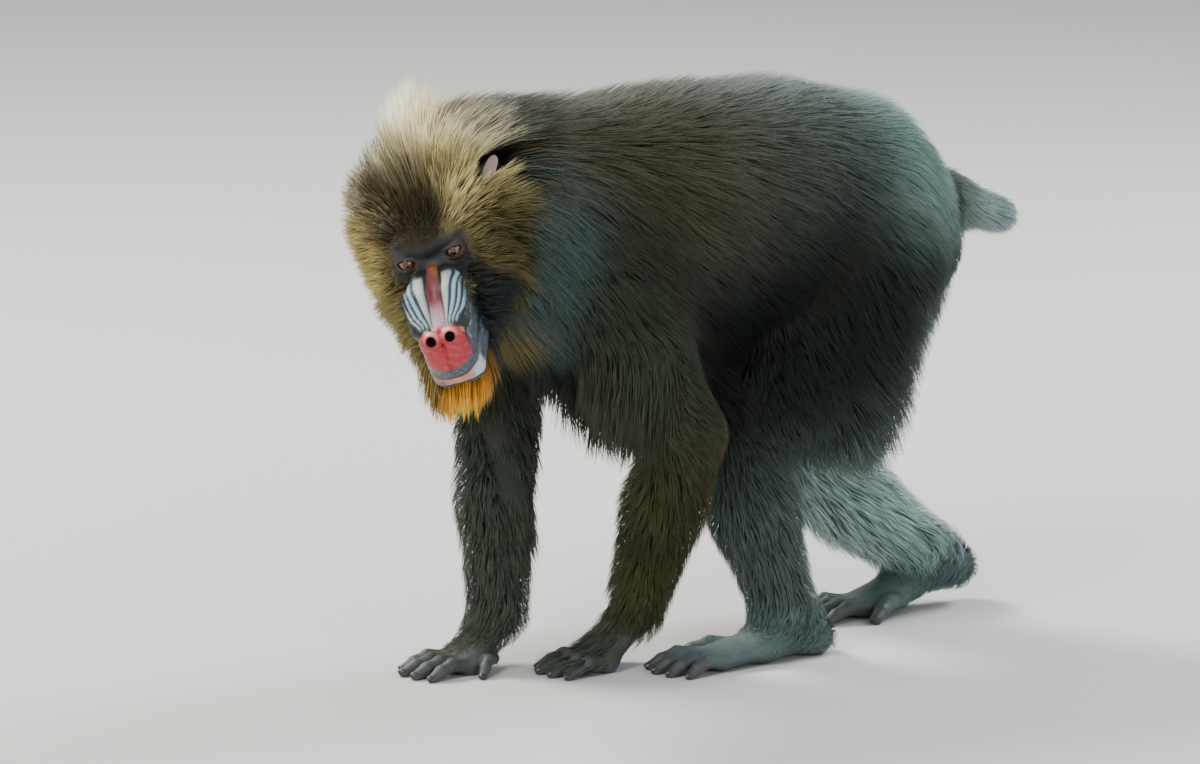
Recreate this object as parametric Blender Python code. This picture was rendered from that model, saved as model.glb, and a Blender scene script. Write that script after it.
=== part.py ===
"""A still, life-size mandrill that stands on all fours and looks to its left side.

Metres, +Z up. The animal walks towards -Y, its left side is +X, and its palms and soles rest on z = 0.
The body is one smooth form made of tapered ellipses blended into each other, with less than half of the
coat's depth in it. It is meshed node by node, and neighbouring nodes meet on a flat cut with a small gap.
The rest of the coat is flat, tapered locks that lie over each other and are fused to the node they grow from.
"""

import math

import bmesh
import bpy
import numpy as np

CM = 0.01
GAP = 0.0003

# Sizes of the animal, in centimetres unless a comment says otherwise.
CORE_SHARE = 0.4
LOCK_SINK = 0.9
LOCK_THICKNESS = 0.42
LOCK_SWAY = 0.22
LOCK_LEAVE = 0.3
LOCK_CORNERS = 3
LOCK_SEED = 2
LOCK_SEEDS = {"torso": 3, "neck": 1, "upper_armleft": 1, "upper_armright": 1}
EYE_SPACING = 5.4
EYE_RADIUS = 1.05
EYE_DEPTH = 0.9
MUZZLE_SLOPE = math.radians(35)
HEAD_TURN = math.radians(70)
MUZZLE_DIP = math.radians(43)
HEAD_ROLL = math.radians(25)
LID_THICKNESS = 0.24
NOSTRIL_SPACING = 2.1
NOSTRIL_FORWARD = 11.0
NOSTRIL_RISE = 0.35
NOSTRIL_RADII = (0.5, 0.56, 1.1)
MOUTH_DROP = 4.0
MOUTH_SAG = 0.35
GROOVE_RADIUS = 0.17
GROOVES = 3
SHARP_ANGLE = math.radians(45)

# Where the middle of the stance lies, so that the model stands centred on the origin.
STANCE = (-0.55, 1.0, 0.0)


def at(forward, left, height):
    """A place given in centimetres forward, to the animal's left and up, as a point in metres."""
    return np.array([left - STANCE[1], -(forward - STANCE[0]), height - STANCE[2]]) * CM


def along(forward, left, height):
    """A direction given forward, left and up, as a unit vector."""
    vector = np.array([left, -forward, height], float)
    return vector / np.linalg.norm(vector)


def unit(vector):
    return np.asarray(vector, float) / np.linalg.norm(vector)


# The head's own directions: muzzle, left, and the normal of the muzzle's back.
LEVEL = np.array([math.sin(HEAD_TURN), -math.cos(HEAD_TURN), 0.0])
MUZZLE = LEVEL * math.cos(MUZZLE_DIP) - np.array([0, 0, 1.0]) * math.sin(MUZZLE_DIP)
SIDE = np.cross([0, 0, 1.0], LEVEL)
HEAD_LEFT = SIDE * math.cos(HEAD_ROLL) + np.cross(MUZZLE, SIDE) * math.sin(HEAD_ROLL)
MUZZLE_UP = np.cross(MUZZLE, HEAD_LEFT)
GAZE = MUZZLE * math.cos(MUZZLE_SLOPE) + MUZZLE_UP * math.sin(MUZZLE_SLOPE)
CROWN = np.cross(GAZE, HEAD_LEFT)
EYES = at(36.9, 8.7, 48.85)


def skull(left, front, up):
    """A point of the head from the middle between the eyes: left, along the gaze and towards the crown."""
    return EYES + (HEAD_LEFT * left + GAZE * front + CROWN * up) * CM


def snout(left, forward, up):
    """A point of the muzzle from the middle between the eyes: left, along the muzzle and off its back."""
    return EYES + (HEAD_LEFT * left + MUZZLE * forward + MUZZLE_UP * up) * CM


class Form:
    """A tapered tube with elliptic sections from a to b. Radii are (side, deep) and side names the first one."""

    def __init__(self, a, b, radii_a, radii_b, side, coat=(0.0, 0.0), blend=2.0):
        self.a = np.asarray(a, float)
        self.b = np.asarray(b, float)
        self.coat = coat
        self.radii_a = np.array(radii_a) * CM + coat[0] * CORE_SHARE * CM
        self.radii_b = np.array(radii_b) * CM + coat[1] * CORE_SHARE * CM
        axis = self.b - self.a
        self.length = max(np.linalg.norm(axis), 1e-6)
        self.axis = axis / self.length if self.length > 1e-5 else np.array([0, 0, 1.0])
        side = np.asarray(side, float) - self.axis * np.dot(side, self.axis)
        self.side = unit(side)
        self.deep = np.cross(self.axis, self.side)
        self.blend = blend * CM

    def box(self):
        reach = max(self.radii_a.max(), self.radii_b.max()) + self.blend
        return np.minimum(self.a, self.b) - reach, np.maximum(self.a, self.b) + reach

    def __call__(self, points):
        rel = points - self.a
        run = rel @ self.axis
        share = np.clip(run / self.length, 0, 1)
        past = run - share * self.length
        radii = self.radii_a + (self.radii_b - self.radii_a) * share[:, None]
        parts = np.stack([rel @ self.side, rel @ self.deep, past], axis=1)
        sizes = np.concatenate([radii, radii.mean(axis=1, keepdims=True)], axis=1)
        near = np.linalg.norm(parts / sizes, axis=1)
        slope = np.linalg.norm(parts / sizes**2, axis=1)
        return near * (near - 1) / np.maximum(slope, 1e-6)


def blend_pair(first, second, width):
    """The lesser of two distances, with the corner between them filled over this width."""
    share = np.maximum(width - np.abs(first - second), 0) / width
    return np.minimum(first, second) - share * share * width / 4


def field_of(forms, far=0.2):
    """One function that gives the distance to the blended forms."""

    def distance(points):
        total = np.full(len(points), far)
        for form in forms:
            low, high = form.box()
            inside = ((points >= low - 0.01) & (points <= high + 0.01)).all(axis=1)
            if inside.any():
                total[inside] = blend_pair(total[inside], form(points[inside]), form.blend)
        return total

    return distance


def joined(trunk, limb, width=2.2):
    def distance(points):
        return blend_pair(trunk(points), limb(points), width * CM)

    return distance


def both(*fields):
    def distance(points):
        return np.minimum.reduce([field(points) for field in fields])

    return distance


# Body forms

LEFT = np.array([1.0, 0, 0])
AHEAD = np.array([0, -1.0, 0])
UP = np.array([0, 0, 1.0])


def chain(stations, side, blend=2.0):
    """Forms through stations of (point, (side radius, deep radius), coat depth)."""
    return [
        Form(a, b, radii_a, radii_b, side, (coat_a, coat_b), blend)
        for (a, radii_a, coat_a), (b, radii_b, coat_b) in zip(stations[:-1], stations[1:])
    ]


def torso_forms():
    spine = [
        (at(-25.8, 0, 46.8), (6.4, 6.6), 2.2),
        (at(-20.5, 0, 49.6), (8.6, 8.8), 2.8),
        (at(-11, 0, 49.4), (9.6, 11.0), 3.4),
        (at(0, 0, 48.4), (9.8, 12.2), 3.6),
        (at(9, 0, 47.2), (9.6, 12.8), 3.8),
        (at(16.5, 0.2, 48.2), (8.4, 10.8), 4.4),
        (at(21, 0.4, 50.8), (7.0, 8.8), 5.0),
    ]
    chest_mane = Form(at(10, 0, 40), at(9.5, 1.0, 30.5), (5.5, 6.0), (1.2, 3.5), LEFT, (3.5, 5.5), 4.0)
    seat = Form(at(-29, -3, 42.5), at(-29, 3, 42.5), (3.6, 3.4), (3.6, 3.4), AHEAD, (0.8, 0.8), 3.0)
    folds = [
        Form(at(2.5, 4.5 * way, 38), at(-0.5, 5.6 * way, 29.5), (2.6, 3.0), (1.8, 2.2), LEFT, (1.6, 1.6), 3.0)
        for way in (-1, 1)
    ]
    return chain(spine, LEFT, 3.0) + [chest_mane, seat] + folds


def neck_forms():
    return chain(
        [
            (at(19, 0.2, 50.5), (7.4, 8.6), 4.8),
            (at(26, -0.6, 52.5), (5.8, 6.8), 5.2),
            (at(31, -0.8, 53.0), (5.6, 6.0), 4.8),
        ],
        LEFT,
        3.0,
    )


def head_forms():
    """Braincase, brow, cheekbones, muzzle, nose and jaw, then the coat of crown, cheeks and throat."""
    forms = [
        Form(skull(0, -9.5, 1.6), skull(0, -4.5, 1.2), (5.4, 5.2), (4.8, 4.4), HEAD_LEFT, (1.0, 0.3), 2.0),
        Form(snout(0, 1.0, -4.0), snout(0, 10.4, -3.4), (3.5, 3.7), (2.75, 3.1), HEAD_LEFT, blend=1.2),
        Form(snout(0, -4.0, -6.0), snout(0, 4.0, -5.6), (4.4, 3.6), (3.2, 2.8), HEAD_LEFT, (0.8, 0.2), 2.0),
    ]
    for way in (-1, 1):
        brow = [
            (skull(4.3 * way, -2.6, 0.9), (0.9, 0.9), 0.0),
            (skull(2.4 * way, -0.7, 1.75), (0.95, 0.85), 0.0),
            (skull(0, -0.4, 1.55), (0.95, 0.8), 0.0),
        ]
        forms += chain(brow, UP, 0.9)
        forms.append(
            Form(
                skull(4.4 * way, -3.0, -1.4), skull(5.0 * way, -8.5, -1.6), (1.5, 1.9), (1.6, 2.4),
                HEAD_LEFT, (0.2, 0.8), 1.6,
            )
        )
        swelling = [
            (snout(1.5 * way, 2.3, -0.5), (1.2, 0.9), 0.0),
            (snout(2.0 * way, 5.0, -0.2), (1.75, 1.2), 0.0),
            (snout(1.75 * way, 8.6, -0.5), (1.5, 1.1), 0.0),
        ]
        forms += chain(swelling, HEAD_LEFT, 0.6)
        forms.append(
            Form(snout(1.25 * way, 10.3, -0.7), snout(1.2 * way, 11.2, -2.4), (1.4, 1.3), (1.3, 1.1),
                 HEAD_LEFT, blend=0.5)
        )
        forms.append(
            Form(snout(1.4 * way, 11.2, -5.8), snout(4.0 * way, -3.5, -7.4), (1.5, 1.3), (1.5, 1.9),
                 HEAD_LEFT, (0.0, 0.8), 1.2)
        )
        forms.append(
            Form(snout(0, 12.1, -4.9), snout(2.7 * way, 7.6, -4.9), (0.8, 0.7), (0.6, 0.6), HEAD_LEFT,
                 blend=0.5)
        )
    forms.append(Form(snout(0, 1.5, -0.5), snout(0, 10.6, -0.2), (0.6, 0.6), (0.75, 0.7), HEAD_LEFT, blend=0.4))
    forms.append(Form(snout(0, 10.9, -3.6), snout(0, 10.9, -4.2), (2.3, 1.0), (2.3, 0.8), HEAD_LEFT, blend=0.8))
    return forms


def head_coat_forms():
    """The crest, cheek ruff, nape and beard as smooth forms out to their tips."""
    forms = [
        Form(skull(0, -7.0, 3.2), skull(0, -9.0, 9.5), (3.6, 3.4), (0.6, 0.6), HEAD_LEFT, (2.2, 2.2), 2.0),
        Form(skull(0, -11.0, 2.0), skull(0, -12.0, -3.0), (4.6, 3.4), (4.8, 3.4), HEAD_LEFT, (4.0, 4.0), 2.5),
    ]
    for way in (-1, 1):
        forms.append(
            Form(skull(4.2 * way, -8.0, 1.5), skull(4.6 * way, -6.5, -5.5), (2.2, 2.6), (1.8, 2.0),
                 HEAD_LEFT, (3.2, 3.2), 2.0)
        )
        forms.append(
            Form(snout(3.4 * way, -1.0, -5.6), snout(3.4 * way, 4.5, -7.4), (1.4, 1.6), (1.0, 0.9),
                 HEAD_LEFT, (3.2, 2.8), 1.6)
        )
    chin = snout(0, 8.0, -7.2)
    forms.append(Form(chin, chin + at_offset(-1.5, 0.5, -4.5), (1.2, 1.0), (0.3, 0.3), HEAD_LEFT, (1.6, 1.2), 1.5))
    throat = snout(0, 1.5, -8.0)
    forms.append(
        Form(throat, throat + at_offset(-2.5, -0.5, -3.0), (2.6, 2.0), (1.2, 1.0), HEAD_LEFT, (2.4, 2.4), 2.0)
    )
    return forms


def at_offset(forward, left, height):
    return np.array([left, -forward, height]) * CM


def ear_forms(way):
    """A stalk inside the coat and the upper leaf of the ear, wide from front to back of the head."""
    root, tip = ear_axis(way)
    return [Form(root, tip - (tip - root) * 0.2, (1.9, 1.1), (1.6, 0.6), ear_width(way), blend=0.8)]


def ear_width(way):
    """The ear's wide way: it faces half forward and half outward."""
    return GAZE * 0.6 + HEAD_LEFT * way * 0.3 + CROWN * 0.2


def tail_forms():
    return chain(
        [
            (at(-29, 0, 47.0), (3.0, 2.6), 0.8),
            (at(-34, 0, 48.2), (2.0, 1.8), 0.8),
            (at(-41, 0, 45.8), (0.9, 0.9), 1.0),
        ],
        LEFT,
        1.6,
    )


class Limb:
    """The joints of one leg, and its forms."""

    def __init__(self, way, joints, radii, coats):
        self.way = way
        self.top, self.middle, self.end = joints
        side = LEFT
        (top, mid, low) = radii
        upper_coat, joint_coat, low_coat = coats
        self.forms = chain(
            [
                (self.top, top, upper_coat),
                (self.top * 0.5 + self.middle * 0.5, (np.array(top) * 0.4 + np.array(mid) * 0.6), upper_coat),
                (self.middle, mid, joint_coat),
            ],
            side,
            2.0,
        ) + chain(
            [
                (self.middle, mid, joint_coat),
                (self.middle * 0.62 + self.end * 0.38, (np.array(mid) * 0.75 + np.array(low) * 0.25), low_coat),
                (self.end, low, low_coat * 0.8),
            ],
            side,
            2.0,
        )


# Hands and feet

FINGERS = 4
FINGER_SPREAD = math.radians(4)
FINGER_PITCH = 1.5
FINGER_SIZES = ((5.0, 0.76), (6.2, 0.82), (6.0, 0.82), (5.2, 0.74))
TOE_SIZES = ((5.0, 0.74), (6.2, 0.82), (6.6, 0.84), (6.0, 0.8))


def digit(root, heading, reach, radius, rise):
    """One bent finger or toe that lies on the floor with its tip, as forms."""
    knuckle = root + heading * reach * 0.45 * CM + UP * rise * CM
    tip = root + heading * reach * CM
    tip[2] = (radius * 0.55) * CM
    knuckle[2] = max(knuckle[2], radius * 0.9 * CM)
    return [
        Form(root, knuckle, (radius * 1.1,) * 2, (radius,) * 2, LEFT, blend=0.5),
        Form(knuckle, tip, (radius,) * 2, (radius * 0.8, radius * 0.7), LEFT, blend=0.4),
    ]


def turned(heading, angle):
    """A level direction turned to the animal's left."""
    cosine, sine = math.cos(angle), math.sin(angle)
    return np.array([heading[0] * cosine - heading[1] * sine, heading[0] * sine + heading[1] * cosine, 0.0])


class Hand:
    """Palm raised behind, four fingers flat on the floor and a short thumb on the inner side."""

    def __init__(self, way, wrist, heading):
        heading = unit(heading)
        across = np.cross(UP, heading)
        pad = wrist + heading * 4.6 * CM
        pad[2] = 1.2 * CM
        self.forms = [
            Form(wrist, pad, (2.3, 1.9), (3.0, 1.4), across, (0.4, 0.1), 1.2),
            Form(pad - across * 1.6 * CM, pad + across * 1.6 * CM, (1.4, 1.5), (1.4, 1.5), heading, blend=0.8),
        ]
        self.tips = []
        for index, (reach, radius) in enumerate(FINGER_SIZES):
            offset = (index - (FINGERS - 1) / 2) * FINGER_PITCH
            way_out = turned(heading, offset * FINGER_SPREAD)
            root = pad + across * offset * CM + heading * 0.6 * CM
            root[2] = 1.15 * CM
            self.forms += digit(root, way_out, reach, radius, 0.35)
            self.tips.append((root + way_out * reach * CM, way_out, radius))
        inner = -across * way
        thumb_root = pad + inner * 2.2 * CM - heading * 2.6 * CM
        thumb_way = unit(heading * 0.8 + inner * 0.7)
        thumb_root[2] = 1.5 * CM
        self.forms += digit(thumb_root, thumb_way, 3.8, 0.66, 0.2)
        self.tips.append((thumb_root + thumb_way * 3.8 * CM, thumb_way, 0.66))


class Foot:
    """A long sole from the heel, four toes and an opposed great toe on the inner side."""

    def __init__(self, way, ankle, heel, heading, lift):
        heading = unit(heading)
        across = np.cross(UP, heading)
        ball_of_foot = heel + heading * 13.0 * CM
        ball_of_foot[2] = 1.1 * CM
        mid = heel + heading * 7.0 * CM
        mid[2] = (1.9 + lift * 0.45) * CM
        inner = -across * way
        self.forms = [
            Form(ankle, heel, (2.5, 2.7), (2.3, 2.1), across, (0.5, 0.3), 1.6),
            Form(ankle, mid, (2.5, 2.3), (2.7, 1.7), across, (0.4, 0.1), 1.4),
            Form(heel, mid, (2.2, 1.9), (2.5, 1.5), across, (0.1, 0.0), 1.2),
            Form(mid, ball_of_foot, (2.7, 1.6), (3.0, 1.35), across, blend=1.2),
        ]
        self.tips = []
        for index, (reach, radius) in enumerate(TOE_SIZES):
            order = index if way < 0 else FINGERS - 1 - index
            offset = (order - (FINGERS - 1) / 2) * FINGER_PITCH
            way_out = turned(heading, offset * FINGER_SPREAD)
            root = ball_of_foot + across * offset * CM + heading * 0.6 * CM
            root[2] = 1.15 * CM
            self.forms += digit(root, way_out, reach, radius, 0.45)
            self.tips.append((root + way_out * reach * CM, way_out, radius))
        toe_root = heel + heading * 8.6 * CM + inner * 2.0 * CM
        toe_root[2] = 1.5 * CM
        toe_way = unit(heading * 0.86 + inner * 0.5)
        self.forms += digit(toe_root, toe_way, 6.6, 0.92, 0.3)
        self.tips.append((toe_root + toe_way * 6.6 * CM, toe_way, 0.92))


ARM_L = Limb(
    1, (at(16, 8.6, 45), at(7.2, 11.8, 27.0), at(8.4, 3.0, 5.5)),
    ((4.4, 5.6), (3.3, 3.6), (2.3, 2.1)), (1.8, 1.2, 2.0),
)
ARM_R = Limb(
    -1, (at(18, -8.4, 45.5), at(18.6, -9.2, 25.5), at(21.8, -3.6, 5.6)),
    ((4.4, 5.6), (3.3, 3.6), (2.3, 2.1)), (1.8, 1.3, 2.0),
)
LEG_L = Limb(
    1, (at(-18.5, 7.0, 43.5), at(-3.0, 5.8, 23.4), at(-8.0, 8.4, 5.0)),
    ((5.8, 8.6), (3.9, 4.2), (2.4, 2.5)), (2.4, 1.2, 1.8),
)
LEG_R = Limb(
    -1, (at(-18.5, -7.0, 43.5), at(-20.5, -8.2, 17.0), at(-35.8, -6.2, 6.2)),
    ((5.8, 8.6), (3.9, 4.2), (2.4, 2.5)), (2.4, 1.4, 2.2),
)
HAND_L = Hand(1, ARM_L.end, along(1, 0.05, 0))
HAND_R = Hand(-1, ARM_R.end, along(1, 0.05, 0))
FOOT_L = Foot(1, LEG_L.end, at(-11.4, 8.3, 2.0), along(1, 0.08, 0), 0.0)
FOOT_R = Foot(-1, LEG_R.end, at(-39.3, -6.4, 4.2), along(1, 0.05, 0), 2.2)


def thigh_fringe(top, low):
    """The long hair that hangs behind a thigh."""
    return Form(top, low, (3.6, 4.2), (2.2, 2.8), LEFT, (3.0, 6.0), 2.5)


LEG_L.forms.append(thigh_fringe(at(-22.5, 6.2, 41), at(-16.5, 6.0, 26.5)))
LEG_R.forms.append(thigh_fringe(at(-22.5, -6.2, 41), at(-22.5, -7.8, 25.0)))
# Hair under the far calf.
LEG_R.forms.append(Form(at(-22, -8.0, 14.5), at(-32, -6.6, 7.0), (1.6, 1.8), (1.4, 1.4), LEFT, (2.6, 1.8), 1.6))


# Meshing

# The cell in metres and the triangles of each node before its locks are added.
NODE_MESH = {
    "torso": (0.0065, 500), "neck": (0.006, 220), "head": (0.0035, 960), "tail": (0.004, 120),
    "thigh": (0.006, 180), "upper_arm": (0.006, 180), "shin": (0.005, 150), "forearm": (0.005, 150),
    "hand": (0.0025, 300), "foot": (0.0025, 300), "ear": (0.0022, 220),
}


def open_checkered_faces(values, rounds=12):
    """Turns a corner outwards where a cell face has its inner corners on a diagonal, which would pinch an edge."""
    for _ in range(rounds):
        found = 0
        for axis_a, axis_b in ((0, 1), (0, 2), (1, 2)):
            corner = {}
            for step_a in (0, 1):
                for step_b in (0, 1):
                    cut = [slice(None)] * 3
                    cut[axis_a] = slice(step_a, values.shape[axis_a] - 1 + step_a)
                    cut[axis_b] = slice(step_b, values.shape[axis_b] - 1 + step_b)
                    corner[step_a, step_b] = values[tuple(cut)]
            for first, second in (((0, 0), (1, 1)), ((0, 1), (1, 0))):
                others = [corner[key] for key in corner if key not in (first, second)]
                bad = (corner[first] < 0) & (corner[second] < 0) & (others[0] >= 0) & (others[1] >= 0)
                found += int(bad.sum())
                corner[first][bad] = 1e-5
        if not found:
            return


def surface_net(field, low, high, cell):
    """Points and four-sided faces of the field's zero surface in a box, closed at the walls of the box."""
    low, high = np.asarray(low, float), np.asarray(high, float)
    shape = np.ceil((high - low) / cell).astype(int) + 1
    axes = [low[i] + cell * np.arange(shape[i]) for i in range(3)]
    grid = np.stack(np.meshgrid(*axes, indexing="ij"), axis=-1).reshape(-1, 3)
    values = field(grid).reshape(shape)
    for axis in range(3):
        wall = [slice(None)] * 3
        for end in (0, -1):
            wall[axis] = end
            values[tuple(wall)] = np.maximum(values[tuple(wall)], cell * 0.5)
    open_checkered_faces(values)
    inside = values < 0
    cells = shape - 1
    total = np.zeros((cells.prod(), 3))
    count = np.zeros(cells.prod())
    quads = []
    strides = np.array([cells[1] * cells[2], cells[2], 1])
    for axis in range(3):
        first = [slice(None)] * 3
        second = [slice(None)] * 3
        first[axis] = slice(0, -1)
        second[axis] = slice(1, None)
        crossing = inside[tuple(first)] != inside[tuple(second)]
        spots = np.argwhere(crossing)
        start = values[tuple(first)][crossing]
        stop = values[tuple(second)][crossing]
        places = spots.astype(float)
        places[:, axis] += start / (start - stop)
        side_a, side_b = [i for i in range(3) if i != axis]
        around = []
        for step_a, step_b in ((0, 0), (-1, 0), (-1, -1), (0, -1)):
            near = spots.copy()
            near[:, side_a] += step_a
            near[:, side_b] += step_b
            index = near @ strides
            np.add.at(total, index, places)
            np.add.at(count, index, 1)
            around.append(index)
        faces = np.stack(around, axis=1)
        outward = (start < 0) == (axis != 1)
        faces[~outward] = faces[~outward][:, ::-1]
        quads.append(faces)
    used = count > 0
    number = np.cumsum(used) - 1
    points = low + total[used] / count[used][:, None] * cell
    return settle(field, points, cell), number[np.concatenate(quads)]


def slope_of(field, points, step=0.0004):
    """The field's gradient by central differences."""
    slope = np.empty_like(points)
    for axis in range(3):
        shift = np.zeros(3)
        shift[axis] = step
        slope[:, axis] = (field(points + shift) - field(points - shift)) / (2 * step)
    return slope


def settle(field, points, cell, rounds=2):
    """Moves points onto the field's zero surface, each by less than half a cell."""
    for _ in range(rounds):
        slope = slope_of(field, points)
        value = field(points)
        move = -slope * (value / np.maximum((slope**2).sum(axis=1), 0.05))[:, None]
        length = np.linalg.norm(move, axis=1, keepdims=True)
        points = points + move * np.minimum(1, 0.4 * cell / np.maximum(length, 1e-9))
    return points


def mesh_object(name, points, faces):
    mesh = bpy.data.meshes.new(name)
    mesh.from_pydata([tuple(p) for p in points], [], [tuple(int(i) for i in f) for f in faces])
    obj = bpy.data.objects.new(name, mesh)
    bpy.context.scene.collection.objects.link(obj)
    return obj


def apply_modifiers(obj):
    graph = bpy.context.evaluated_depsgraph_get()
    mesh = bpy.data.meshes.new_from_object(obj.evaluated_get(graph))
    obj.modifiers.clear()
    old = obj.data
    obj.data = mesh
    bpy.data.meshes.remove(old)


def thin_to(obj, triangles):
    """Fewer triangles, by collapsing edges."""
    count = sum(len(face.vertices) - 2 for face in obj.data.polygons)
    thin = obj.modifiers.new("thin", "DECIMATE")
    thin.ratio = min(1.0, triangles / count)
    apply_modifiers(obj)


def boolean(obj, tool, operation):
    cut = obj.modifiers.new("cut", "BOOLEAN")
    cut.object = tool
    cut.operation = operation
    cut.solver = "MANIFOLD"
    bpy.context.view_layer.update()
    apply_modifiers(obj)


def discard(obj):
    mesh = obj.data
    bpy.data.objects.remove(obj)
    bpy.data.meshes.remove(mesh)


def keep_largest(obj):
    """Only the closed surface with the most faces is kept."""
    shape = bmesh.new()
    shape.from_mesh(obj.data)
    shape.faces.ensure_lookup_table()
    left = set(shape.faces)
    shells = []
    while left:
        queue = [left.pop()]
        shell = list(queue)
        while queue:
            face = queue.pop()
            for edge in face.edges:
                for other in edge.link_faces:
                    if other in left:
                        left.remove(other)
                        queue.append(other)
                        shell.append(other)
        shells.append(shell)
    shells.sort(key=len)
    for shell in shells[:-1]:
        bmesh.ops.delete(shape, geom=shell, context="FACES")
    shape.to_mesh(obj.data)
    shape.free()


def lofted(centres, across, lift, sizes, corners, tip=None):
    """A closed tube through rings of (half width, half depth) about the centres, ending in a tip or a cap."""
    points, faces = [], []
    for centre, wide, high, (width, depth) in zip(centres, across, lift, sizes):
        for corner in range(corners):
            turn = 2 * math.pi * corner / corners + math.pi / 2
            points.append(centre + wide * width * math.cos(turn) + high * depth * math.sin(turn))
    rings = len(centres)
    for ring in range(rings - 1):
        for corner in range(corners):
            after = (corner + 1) % corners
            a, b = ring * corners + corner, ring * corners + after
            faces.append((a, b, b + corners, a + corners))
    faces.append(tuple(reversed(range(corners))))
    last = (rings - 1) * corners
    if tip is not None:
        points.append(tip)
        for corner in range(corners):
            faces.append((last + corner, last + (corner + 1) % corners, rings * corners))
    else:
        faces.append(tuple(last + corner for corner in range(corners)))
    return points, faces


def face_out(obj):
    shape = bmesh.new()
    shape.from_mesh(obj.data)
    bmesh.ops.recalc_face_normals(shape, faces=shape.faces[:])
    shape.to_mesh(obj.data)
    shape.free()
    return obj


def groove(field, route, radius, corners=4):
    """A cutter along a route that is first laid onto the field's surface."""
    route = settle(field, np.array(route), 0.012, 6)
    slopes = slope_of(field, route)
    lift = [unit(slope) for slope in slopes]
    steps = np.gradient(route, axis=0)
    across = [unit(np.cross(step, high)) for step, high in zip(steps, lift)]
    sizes = [(radius * CM * 0.5, radius * CM)] + [(radius * CM, radius * CM * 1.5)] * (len(route) - 2)
    sizes.append(sizes[0])
    return face_out(mesh_object("groove", *lofted(route, across, lift, sizes, corners)))


def sphere(name, centre, radii, axes, segments=12, rings=8):
    """An ellipsoid with its pole on the last axis."""
    shape = bmesh.new()
    bmesh.ops.create_uvsphere(shape, u_segments=segments, v_segments=rings, radius=1.0)
    for vert in shape.verts:
        place = centre + sum(axis * radius * CM * share for axis, radius, share in zip(axes, radii, vert.co))
        vert.co = place
    shape.normal_update()
    bmesh.ops.recalc_face_normals(shape, faces=shape.faces[:])
    mesh = bpy.data.meshes.new(name)
    shape.to_mesh(mesh)
    shape.free()
    obj = bpy.data.objects.new(name, mesh)
    bpy.context.scene.collection.objects.link(obj)
    return obj


def gather(name, tools):
    """Puts objects in a collection of their own, for one Boolean."""
    group = bpy.data.collections.new(name)
    bpy.context.scene.collection.children.link(group)
    for tool in tools:
        bpy.context.scene.collection.objects.unlink(tool)
        group.objects.link(tool)
    return group


def boolean_all(obj, tools, operation):
    """One Boolean with all the tools at once, which are then removed."""
    group = gather("tools", tools)
    cut = obj.modifiers.new("cut", "BOOLEAN")
    cut.operand_type = "COLLECTION"
    cut.collection = group
    cut.operation = operation
    cut.solver = "MANIFOLD"
    bpy.context.view_layer.update()
    apply_modifiers(obj)
    for tool in list(group.objects):
        discard(tool)
    bpy.data.collections.remove(group)


REGION_REACH = 1.2


def region(name, planes, grow):
    """A convex block bounded by planes of (point, outward normal), each moved outwards by grow."""
    shape = bmesh.new()
    bmesh.ops.create_cube(shape, size=2 * REGION_REACH)
    for point, normal in planes:
        normal = unit(normal)
        everything = shape.verts[:] + shape.edges[:] + shape.faces[:]
        bmesh.ops.bisect_plane(
            shape, geom=everything, plane_co=point + normal * grow, plane_no=normal, clear_outer=True
        )
        rim = [edge for edge in shape.edges if edge.is_boundary]
        bmesh.ops.contextual_create(shape, geom=rim)
    bmesh.ops.recalc_face_normals(shape, faces=shape.faces[:])
    mesh = bpy.data.meshes.new(name)
    shape.to_mesh(mesh)
    shape.free()
    obj = bpy.data.objects.new(name, mesh)
    bpy.context.scene.collection.objects.link(obj)
    return obj


def solid(name, kind, field, box, keep, remove=(), locks=()):
    """One node: the field's surface with its locks, inside the planes of keep, less each region of remove."""
    cell, triangles = NODE_MESH[kind]
    points, faces = surface_net(field, *box, cell)
    obj = mesh_object(name, points, faces)
    thin_to(obj, triangles)
    if locks:
        boolean_all(obj, locks, "UNION")
    if keep:
        block = region("block", keep, -GAP / 2)
        boolean(obj, block, "INTERSECT")
        discard(block)
    for planes in remove:
        block = region("block", planes, GAP / 2)
        boolean(obj, block, "DIFFERENCE")
        discard(block)
    keep_largest(obj)
    return obj


# Cuts between nodes

def bend_normal(top, middle, end):
    """The normal of the cut through a joint, pointing down the limb."""
    return unit(unit(middle - top) + unit(end - middle))


NECK_TOP = (at(25.8, 0, 50), along(1, 0, 0.15))
NECK_BASE = (at(19.5, 0, 50), along(1, 0, 0.35))
TAIL_CUT = (at(-33.6, 0, 48), along(-1, 0, 0.15))


def limb_region(limb, reach, inner_top, inner_low):
    """The block of a shoulder or thigh, from a slanted plane near the midline outwards. reach is how far it goes
    above the joint, and to the front and the back of the bone, in centimetres."""
    bone = unit(limb.middle - limb.top)
    front = unit(np.cross(bone, LEFT))
    if front[1] > 0:
        front = -front
    slant = inner_low - inner_top
    inner = -limb.way * unit(np.cross(slant, AHEAD) * np.sign(np.cross(slant, AHEAD)[0]))
    return [
        (limb.top - bone * (reach[0] * CM), -bone),
        (limb.top + front * (reach[1] * CM), front),
        (limb.top - front * (reach[2] * CM), -front),
        (inner_top, inner),
        (limb.middle, bend_normal(limb.top, limb.middle, limb.end)),
    ]


def shoulder_region(limb):
    way = limb.way
    planes = limb_region(limb, (7.5, 7.5, 6.5), at(0, 6.6 * way, 50), at(0, 2.6 * way, 30))
    return planes + [NECK_BASE]


def thigh_region(limb):
    way = limb.way
    return limb_region(limb, (8.5, 7.5, 18.0), at(0, 5.2 * way, 50), at(0, 0.8 * way, 30))


def opposite(plane):
    return (plane[0], -np.asarray(plane[1]))


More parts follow.
